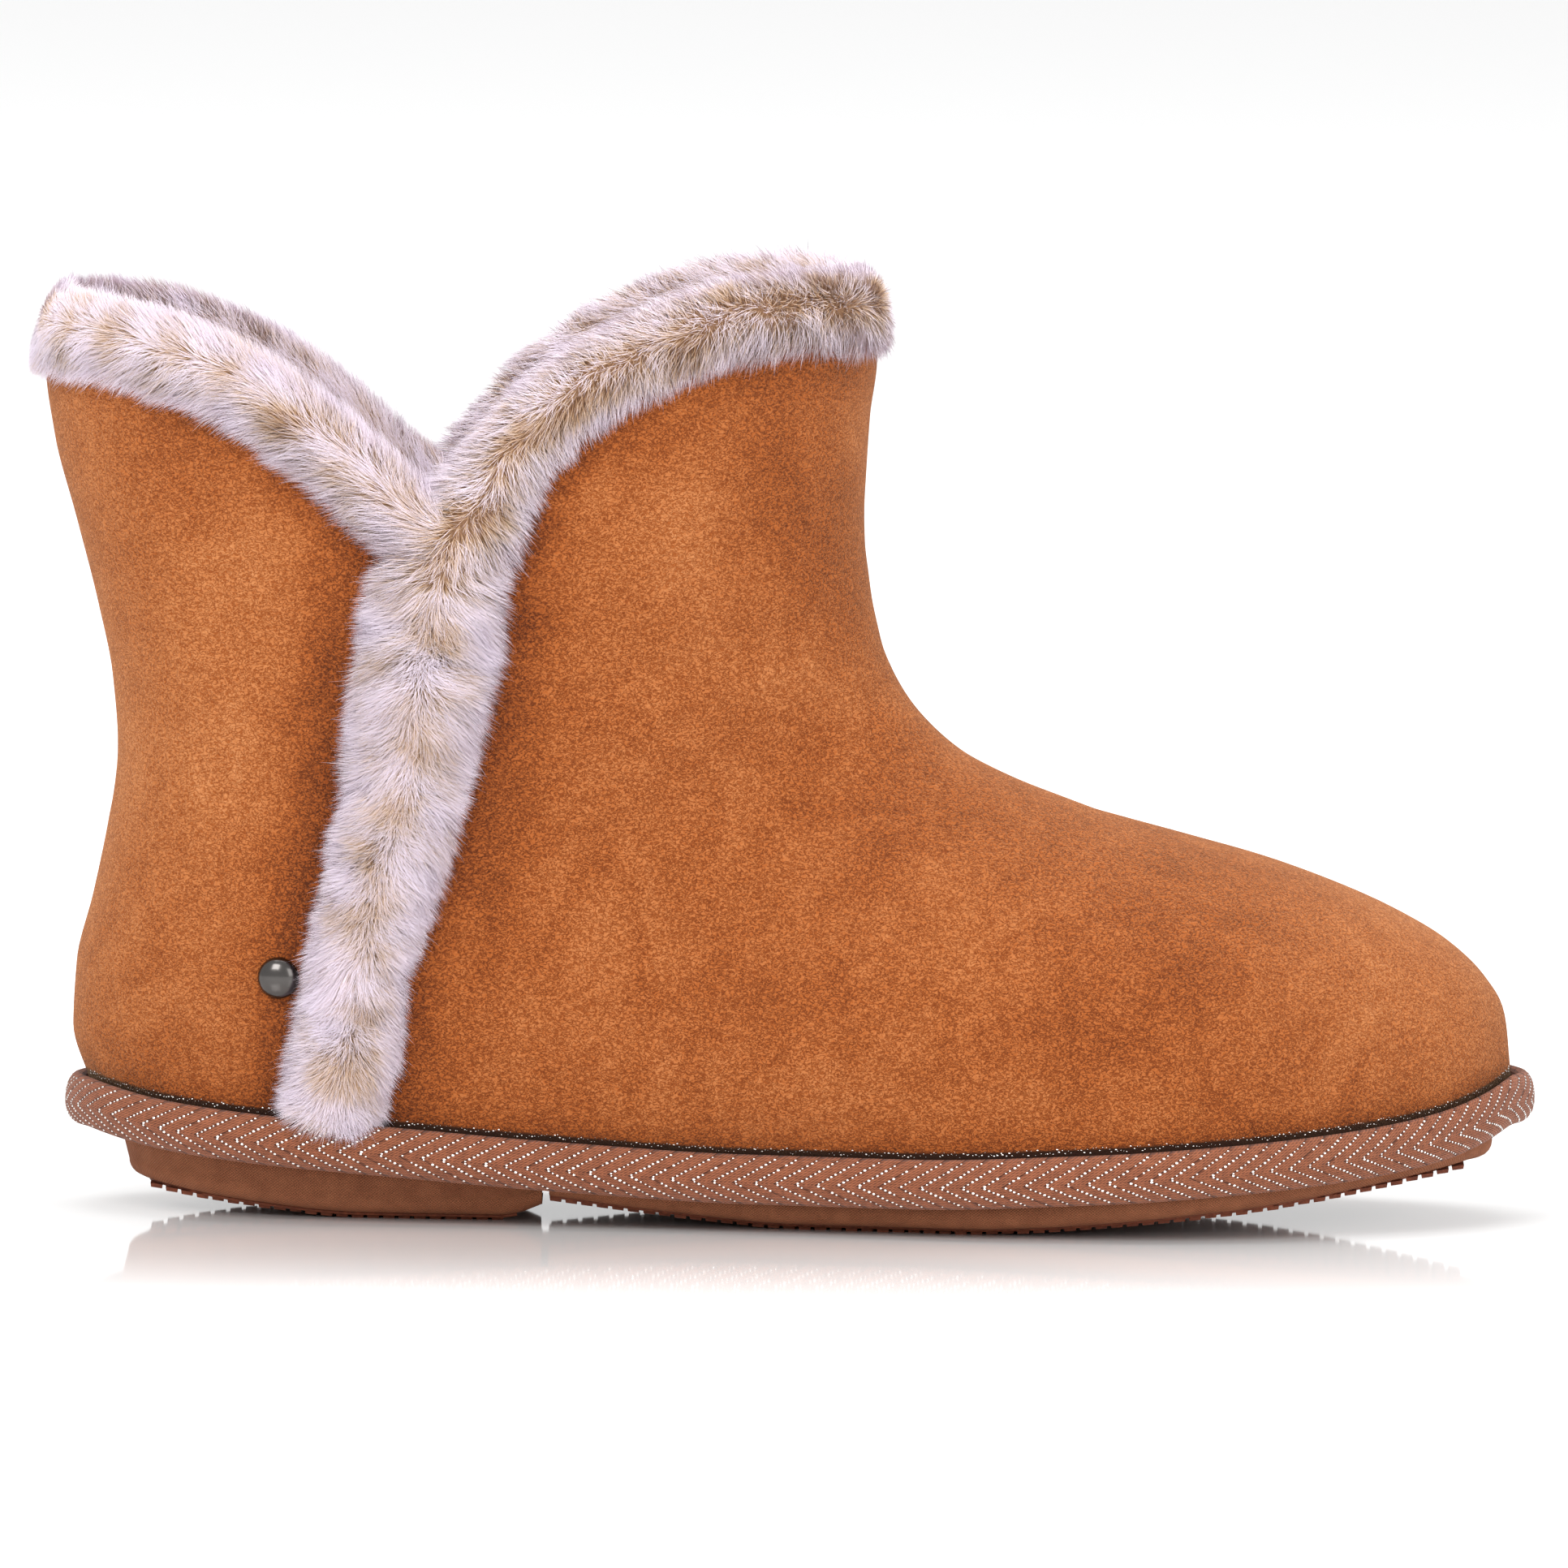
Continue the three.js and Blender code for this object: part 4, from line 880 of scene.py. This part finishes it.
def make_braid():
    around = 30
    outline = closed_curve([(o * BRAID_OVERHANG, u * BRAID_HEIGHT) for o, u in BRAID_SECTION], around)
    points = np.stack([
        outline_loop(PIECE_GAP + out, raised(crevice_z, up - BRAID_HEIGHT), half_steps=230)
        for out, up in outline])
    points = np.concatenate([points, points[:, :1]], 1)
    u = arc_lengths(points[around // 3]) / MM
    v = np.broadcast_to((outline[:, 1] / BRAID_HEIGHT)[:, None], points.shape[:2])
    uv = np.stack([np.broadcast_to(u, points.shape[:2]), v], -1)
    braid = laid_grid("braid_tape", points, [BRAID], uv)
    finish_piece(braid, ["braid_binding"])
    visible = range(1, 2 * around // 3)
    rows = np.array([k for k in visible if outline[k, 0] > 0.3 * BRAID_OVERHANG])
    skin = points[rows]
    normals = -grid_normals(skin)
    if np.mean(normals[:, 60, 1]) > 0:
        normals = -normals
    heights = outline[rows, 1] / BRAID_HEIGHT
    order = np.argsort(heights)
    return skin[order], normals[order], heights[order], u


def on_skin(skin, normals, heights, arc, u, v):
    """Places and outward directions on the braid at u along it and v across it."""
    row = np.interp(v, heights, np.arange(len(heights)))
    column = np.interp(u, arc, np.arange(len(arc)))
    r, c = np.minimum(row.astype(int), len(heights) - 2), np.minimum(column.astype(int), len(arc) - 2)
    fr, fc = (row - r)[:, None], (column - c)[:, None]

    def sample(grid):
        return lerp(lerp(grid[r, c], grid[r, c + 1], fc), lerp(grid[r + 1, c], grid[r + 1, c + 1], fc), fr)

    return sample(skin), unit(sample(normals)), unit(skin[r, c + 1] - skin[r, c])


def bead_mesh(name, centre, out, along, size):
    """Small domes at the centres, lying on a surface."""
    sides = 6
    across = unit(np.cross(out, along))
    turns = np.arange(sides) * 2 * math.pi / sides
    reach = size[:, None, None]
    ring = centre[:, None] + along[:, None] * np.cos(turns)[:, None] * reach * 1.2
    ring = ring + across[:, None] * np.sin(turns)[:, None] * reach * 0.9
    top = centre + out * (size * 0.8)[:, None]
    vertices = np.concatenate([ring, top[:, None]], 1).reshape(-1, 3)
    fan = np.array([(k, (k + 1) % sides, sides) for k in range(sides)])
    faces = (fan[None] + np.arange(len(centre))[:, None, None] * (sides + 1)).reshape(-1, 3)
    return finish_piece(from_arrays(name, vertices, faces, SILVER))


def make_threads(skin, normals, heights, arc):
    """Silver thread surfacing from the tape, one beaded row to each chevron."""
    bead_step = 0.88
    below, above = BRAID_SLOPES
    tape = BRAID_HEIGHT / MM
    spots = []
    for start in np.arange(0, arc[-1], BRAID_PITCH):
        for slope, limit, way in ((below, 0.05, -1), (above, 0.93, 1)):
            step = bead_step / math.hypot(slope, tape)
            for rise in np.arange(step / 2, abs(limit - BRAID_VERTEX), step):
                if random.random() < 0.94:
                    v = BRAID_VERTEX + way * rise
                    u = start + braid_slant(v) + random.normal(0, 0.05)
                    spots.append((u, v, random.uniform(0.14, 0.25)))
    spots = np.array(spots)
    centre, out, along = on_skin(skin, normals, heights, arc, spots[:, 0] % arc[-1], spots[:, 1])
    bead_mesh("braid_threads", centre, out, along, spots[:, 2] * MM)


def make_selvage_glints():
    """Silver specks on the upper just above the braid, in the painted crevice shade."""
    line = outline_loop(0, crevice_z)
    arc = arc_lengths(line)
    places = np.arange(1.5 * MM, arc[-1], 0.55 * MM)
    places = places + random.normal(0, 0.12 * MM, len(places))
    x = np.interp(places, arc, line[:, 0])
    side = np.where(places < arc[len(line) // 2], -1, 1)
    low, high = HEEL_X + 0.4 * MM, TOE_X - 0.6 * MM
    z = crevice_z(x) + random.uniform(0.2, 1.25, len(x)) * MM
    t, s = find_on_last(np.clip(x, low, high), z, side)
    out = last_normal(t, s)
    along = unit(np.cross(out, (0, 0, 1)))
    size = (0.05 + 0.13 * random.random(len(x)) ** 2) * MM
    bead_mesh("selvage_glints", last_point(t, s) + out * 0.05 * MM, out, along, size)


def make_stud():
    t, s = find_on_last(along_x(STUD_ALONG), height_of(STUD_UP), -1)
    centre, out = last_point(t, s), last_normal(t, s)
    bpy.ops.object.select_all(action="DESELECT")
    bpy.ops.mesh.primitive_uv_sphere_add(segments=48, ring_count=24, radius=1)
    stud = bpy.context.object
    stud.name = stud.data.name = "domed_stud"
    bpy.ops.object.mode_set(mode="EDIT")
    bpy.ops.mesh.select_all(action="SELECT")
    bpy.ops.mesh.bisect(plane_co=(0, 0, 0), plane_no=(0, 0, 1), clear_inner=True, use_fill=True)
    bpy.ops.mesh.select_all(action="SELECT")
    bpy.ops.transform.resize(value=(STUD_RADIUS, STUD_RADIUS, STUD_RISE), center_override=(0, 0, 0))
    bpy.ops.object.mode_set(mode="OBJECT")
    turn = Vector((0, 0, 1)).rotation_difference(Vector(out)).to_matrix().to_4x4()
    stud.data.transform(Matrix.Translation(Vector(centre + out * 0.2 * MM)) @ turn)
    stud.data.materials.append(GUNMETAL)
    select_only(stud)
    bpy.ops.object.shade_smooth_by_angle(angle=math.radians(50))
    finish_piece(stud, ["stud"])


# Fur
def path_from(centre, out, sizes):
    """A line of fur stations: centre, outward and across directions, and reach each way."""
    run = unit(np.gradient(centre, axis=0))
    across = unit(np.cross(out, run))
    length = arc_lengths(centre)
    return {"centre": centre, "out": out, "run": run, "across": across, "length": length, **sizes}


CUFF_REACH = {"up": 7.2 * MM, "down": 9.6 * MM, "outside": 4.8 * MM, "inside": 7.5 * MM}
HEEL_REACH = 2.8 * MM


def rim_stations(start, end, count):
    """Stations along the collar rim; the fur lies closer at the back of the heel."""
    s = np.linspace(start, end, count)
    side = np.where(s > 1, s - 2, s)
    t = rim_row(side)
    sizes = {k: np.full(count, v) for k, v in CUFF_REACH.items()}
    sizes["outside"] = lerp(CUFF_REACH["outside"], HEEL_REACH, np.clip((np.abs(side) - 0.7) / 0.25, 0, 1))
    return last_point(t, side), last_normal(t, side), sizes


def rim_side(x, side):
    """The side value at which the collar rim has come back from the front to x."""
    return side * float(turning_place(0.0, 1.0, lambda s: last_point(rim_row(side * s), side * s)[0] > x))


def strip_stations(side, count):
    """The strip on one side, from the braid up to the notch."""
    ups, backs, fronts = (np.array(column) * MM for column in zip(*STRIP_EDGES))
    z = np.linspace(19 * MM, 119 * MM, count)
    back, front = np.interp(z, ups, backs), np.interp(z, ups, fronts)
    t, s = find_on_last((back + front) / 2, z, side)
    half = (front - back) / 2
    sizes = {"up": half, "down": half}
    sizes["outside"], sizes["inside"] = np.full(count, 6.2 * MM), np.full(count, 1.0 * MM)
    return last_point(t, s), last_normal(t, s), sizes


def front_path():
    """Up the outer strip, over the front of the collar and down the inner strip; its corners are eased."""
    outer_rim = rim_side(NOTCH_X + 11 * MM, -1)
    parts = [strip_stations(-1, 60), rim_stations(outer_rim, -outer_rim, 100)]
    inner = strip_stations(1, 60)
    parts.append((inner[0][::-1], inner[1][::-1], {k: v[::-1] for k, v in inner[2].items()}))
    centre, out = (np.concatenate([part[i] for part in parts]) for i in (0, 1))
    sizes = {k: np.concatenate([part[2][k] for part in parts]) for k in CUFF_REACH}
    even = np.linspace(0, arc_lengths(centre)[-1], 360)
    lengths = arc_lengths(centre)

    def eased(values):
        spread = np.interp(even, lengths, values)
        for _ in range(6):
            spread[3:-3] = sum(spread[3 + k:len(spread) - 3 + k] for k in range(-3, 4)) / 7
        return spread

    centre = np.stack([eased(centre[:, k]) for k in range(3)], -1)
    out = unit(np.stack([eased(out[:, k]) for k in range(3)], -1))
    path = path_from(centre, out, {k: eased(v) for k, v in sizes.items()})
    return path, (lengths[57], lengths[162])


def fur_place(path, length, angle, size):
    """Places in the fur at a length along it, an angle round its section and a share of its reach."""
    at = {k: np.stack([np.interp(length, path["length"], path[k][:, i]) for i in range(3)], -1)
          for k in ("centre", "out", "across", "run")}
    reach = {k: np.interp(length, path["length"], path[k]) for k in CUFF_REACH}
    a, b = np.cos(angle), np.sin(angle)
    over = a * np.where(a > 0, reach["up"], reach["down"]) * size
    depth = b * np.where(b > 0, reach["outside"], reach["inside"]) * size
    beyond = np.minimum(length, 0) + np.maximum(length - path["length"][-1], 0)
    return (at["centre"] + at["across"] * over[..., None] + at["out"] * depth[..., None]
            + at["run"] * beyond[..., None])


def make_backing(name, path, node):
    """The soft ground that the hairs grow from."""
    sides, size = 20, 0.52
    angles = np.linspace(0, 2 * math.pi, sides + 1)
    lengths = np.linspace(0, path["length"][-1], len(path["length"]) // 2)
    rows = [fur_place(path, np.full(sides + 1, lengths[0]), angles, size * 0.05)]
    rows += [fur_place(path, np.full(sides + 1, length), angles, size) for length in lengths]
    rows += [fur_place(path, np.full(sides + 1, lengths[-1]), angles, size * 0.05)]
    obj = laid_grid(name, np.stack(rows), [FUR_ROOTS])
    return finish_piece(obj, node)


# The fur's radius for spacing hairs round it, a tuft, half a hair's width, and shares of the fur's reach
FUR_GIRTH = 7 * MM
TUFT = 1.6 * MM
HAIR_WIDTH = 0.055 * MM
HAIR_ROOT, HAIR_REACH = 0.5, 1.06


def drift(length, angle, swell):
    """A soft random field over the fur, about -1 to 1, whose swells are about swell long."""
    total = np.zeros(length.shape)
    for _ in range(6):
        turn, rate = random.uniform(0, 2 * math.pi), 2 * math.pi * random.uniform(0.7, 1.5) / swell
        ahead = math.cos(turn) * length + math.sin(turn) * angle * FUR_GIRTH
        total += np.sin(rate * ahead + random.uniform(0, 2 * math.pi))
    return total / 2.4


def gather_tufts(length, angle, total, angles):
    """The tuft of each hair, the number of tufts, and where along and round each hair's tuft stands."""
    (low, high), count = angles, len(length)
    columns, rows = int(total / TUFT), int((high - low) * FUR_GIRTH / TUFT)
    column = np.clip((length / total * columns + random.normal(0, 0.3, count)).astype(int), 0, columns)
    row = np.clip(((angle - low) / (high - low) * rows + random.normal(0, 0.3, count)).astype(int), 0, rows)
    cell = column * (rows + 1) + row
    cells = (columns + 1) * (rows + 1)
    jitter = random.normal(0, 0.3, (2, cells))
    tuft_length = (np.arange(cells) // (rows + 1) + 0.5 + jitter[0]) / columns * total
    tuft_angle = low + (np.arange(cells) % (rows + 1) + 0.5 + jitter[1]) / rows * (high - low)
    return cell, cells, tuft_length[cell], tuft_angle[cell]


def comb_hairs(length, angle, total, angles, lie):
    """Where each hair's tip comes, its share of the fur's reach and its tint."""
    count = len(length)
    cell, cells, tuft_length, tuft_angle = gather_tufts(length, angle, total, angles)
    pull = random.uniform(0.0, 0.5, count)
    parting, sweep, bare = lie
    wander = 0.22 * drift(length, 0 * angle, 38 * MM) + 0.16 * drift(length, 0 * angle, 13 * MM)
    off_parting = angle - parting - wander
    opened = 0.36 * np.tanh(off_parting / 0.9) * np.cos(np.clip(off_parting, -math.pi / 2, math.pi / 2))
    tip_angle = angle + opened + pull * (tuft_angle - angle)
    tip_angle = tip_angle + 0.10 * drift(length, angle, 9 * MM) + random.normal(0, 0.10, count)
    tip_length = length + sweep + pull * (tuft_length - length)
    tip_length = tip_length + 1.1 * MM * drift(length, angle, 16 * MM) + random.normal(0, 1.0 * MM, count)
    valley = fade(off_parting, 0.75) * np.clip(bare + 0.55 * drift(length, angle, 14 * MM), 0, 1)
    size = HAIR_REACH * random.normal(1, 0.035, cells)[cell] * random.normal(1, 0.05, count)
    size = size * (1 + 0.02 * drift(length, angle, 14 * MM) - 0.08 * valley)
    size = size * np.where(random.random(count) < 0.03, 1.1, 1)
    patch = drift(length, angle, 11 * MM)
    tint = 0.60 + 0.13 * patch + random.normal(0, 0.05, cells)[cell] + random.normal(0, 0.09, count)
    return tip_length, tip_angle, size, np.clip(tint - valley * 0.40, 0, 1)


def ribbon_hairs(name, root, bend, tip, outward, tint):
    """Tapered ribbons of three triangles from root over bend to tip, facing mostly outward."""
    count = len(root)
    stem = unit(tip - root)
    across = unit(np.cross(stem, outward) + random.normal(0, 0.35, (count, 3)))
    across = unit(across - stem * np.sum(across * stem, -1, keepdims=True))
    facing = np.cross(across, stem)
    away = np.where(np.sum(facing * outward, -1, keepdims=True) < 0, -1, 1)
    across, facing = across * away, facing * away
    side = across * (HAIR_WIDTH * random.uniform(0.7, 1.4, (count, 1)))
    middle = (root + 2 * bend + tip) / 4
    vertices = np.stack([root - side, root + side, middle - side * 0.8, middle + side * 0.8, tip], 1)
    ribbon = np.array([(0, 1, 3), (0, 3, 2), (2, 3, 4)])
    faces = (ribbon[None] + np.arange(count)[:, None, None] * 5).reshape(-1, 3)
    uv = np.stack([np.repeat(tint, 5), np.tile([0, 0, 0.5, 0.5, 1.0], count)], -1)
    normals = np.repeat(unit(outward * 0.8 + facing * 0.4), 5, axis=0)
    obj = from_arrays(name, vertices.reshape(-1, 3), faces, FUR, uv=uv, normals=normals)
    return finish_piece(obj)


def grow_fur(name, path, stretch, count, angles, flow):
    """Hairs over a stretch of the path; they part along a wandering line and lie away from it."""
    first, total = stretch[0], stretch[1] - stretch[0]
    length, angle = random.uniform(0, total, count), random.uniform(*angles, count)
    tip_length, tip_angle, size, tint = comb_hairs(length, angle, total, angles, flow(first + length))
    root = fur_place(path, first + length, angle, HAIR_ROOT)
    bend = fur_place(path, first + lerp(length, tip_length, 0.25), lerp(angle, tip_angle, 0.25),
                     lerp(HAIR_ROOT, size, 0.62))
    tip = fur_place(path, first + tip_length, tip_angle, size)
    outward = unit(root - fur_place(path, first + length, angle, 0.0) + 1e-6)
    ribbon_hairs(name, root, bend, tip, outward, tint)


def make_fur():
    thin = 1.0
    inner_tuck = rim_side(NOTCH_X + 1.8 * MM, 1)
    rear = path_from(*rim_stations(inner_tuck, 2 - inner_tuck, 120))
    front, (outer_end, inner_end) = front_path()
    rear_end, front_end = rear["length"][-1], front["length"][-1]
    make_backing("rear_cuff_ground", rear, ["fur_cuff_rear"])
    make_backing("front_band_ground", front, ["fur_band_front"])
    around, face = (-0.62 * math.pi, 1.03 * math.pi), (-0.02 * math.pi, 1.02 * math.pi)

    def rear_flow(length):
        return 0.40 * math.pi, -4.0 * MM * np.tanh((length - rear_end / 2) / (25 * MM)), 0.3

    def front_flow(length):
        from_sole = np.minimum(length, front_end - length)
        on_collar = np.clip((from_sole - outer_end) / (40 * MM) + 0.4, 0, 1)
        away = np.tanh((length - front_end / 2) / (20 * MM))
        return lerp(0.5, 0.42, on_collar) * math.pi, lerp(2.6, 2.2, on_collar) * MM * away, 0.6

    for name, path, stretch, count, angles, flow in (
            ("rear_cuff_fur", rear, (0, rear_end), 62000, around, rear_flow),
            ("front_collar_fur", front, (outer_end, inner_end), 62000, around, front_flow),
            ("outer_strip_fur", front, (0, outer_end), 60000, face, front_flow),
            ("inner_strip_fur", front, (inner_end, front_end), 44000, face, front_flow)):
        grow_fur(name, path, stretch, int(count * thin), angles, flow)


make_upper()
make_sole()
make_tread("forefoot_tread", HEEL_FRONT + ARCH_GAP, TOE_X, 8 * MM, fore_bottom)
make_tread("heel_tread", HEEL_X, HEEL_TREAD_FRONT, 11 * MM, heel_bottom)
make_threads(*make_braid())
make_selvage_glints()
make_stud()
make_fur()


# Floor, light and camera
def make_studio():
    bpy.ops.object.select_all(action="DESELECT")
    bpy.ops.mesh.primitive_plane_add(size=26)
    floor = bpy.context.object
    floor.name = floor.data.name = "studio_floor"
    paper = Finish("studio_paper", Base_Color=(0.93, 0.93, 0.93), Roughness=0.6, Specular_IOR_Level=0.2,
                   Coat_Roughness=0.05, Coat_IOR=1.9)
    reach = paper.add("ShaderNodeVectorMath", {"operation": "LENGTH"},
                      {0: paper.stretched((0.45, 1, 0))}, out="Value")
    paper.feed(paper.shader.inputs["Coat Weight"], 1 - reach.between(0.06, 0.26))
    floor.data.materials.append(paper.material)
    for name, place, target, size, power in (
            ("key_light", (-1.1, -2.2, 2.1), (0.05, 0, 0.07), 1.5, 62),
            ("fill_light", (1.9, -1.9, 1.0), (0.08, 0, 0.07), 1.6, 26),
            ("top_light", (0.1, 0.5, 2.2), (0.06, 0, 0.05), 1.8, 32)):
        lamp = bpy.data.lights.new(name, "AREA")
        lamp.size, lamp.energy = size, power
        obj = bpy.data.objects.new(name, lamp)
        bpy.context.scene.collection.objects.link(obj)
        obj.location = place
        obj.rotation_euler = (Vector(target) - Vector(place)).to_track_quat("-Z", "Y").to_euler()
    world = bpy.data.worlds.new("studio")
    bpy.context.scene.world = world
    world.use_nodes = True
    backdrop = world.node_tree.nodes["Background"]
    backdrop.inputs["Color"].default_value = (1, 1, 1, 1)
    backdrop.inputs["Strength"].default_value = 0.9


def make_camera():
    """The picture is 280 mm wide at the outer side, seen from 5 degrees above and rolled by 0.8 degrees."""
    elevation, roll, distance = math.radians(5), math.radians(-0.8), 6.0
    target = Vector((62.07, -10, 77.98)) * MM
    ahead = Vector((0, math.cos(elevation), -math.sin(elevation)))
    level, plumb = Vector((1, 0, 0)), Vector((0, math.sin(elevation), math.cos(elevation)))
    right = level * math.cos(roll) - plumb * math.sin(roll)
    up = level * math.sin(roll) + plumb * math.cos(roll)
    data = bpy.data.cameras.new("camera")
    camera = bpy.data.objects.new("camera", data)
    bpy.context.scene.collection.objects.link(camera)
    data.lens = data.sensor_width * distance / (280 * MM)
    data.clip_end = 100
    turn = Matrix((right, up, -ahead)).transposed().to_4x4()
    camera.matrix_world = Matrix.Translation(target - ahead * distance) @ turn
    bpy.context.scene.camera = camera


make_studio()
make_camera()
bpy.context.scene.view_settings.view_transform = "Standard"
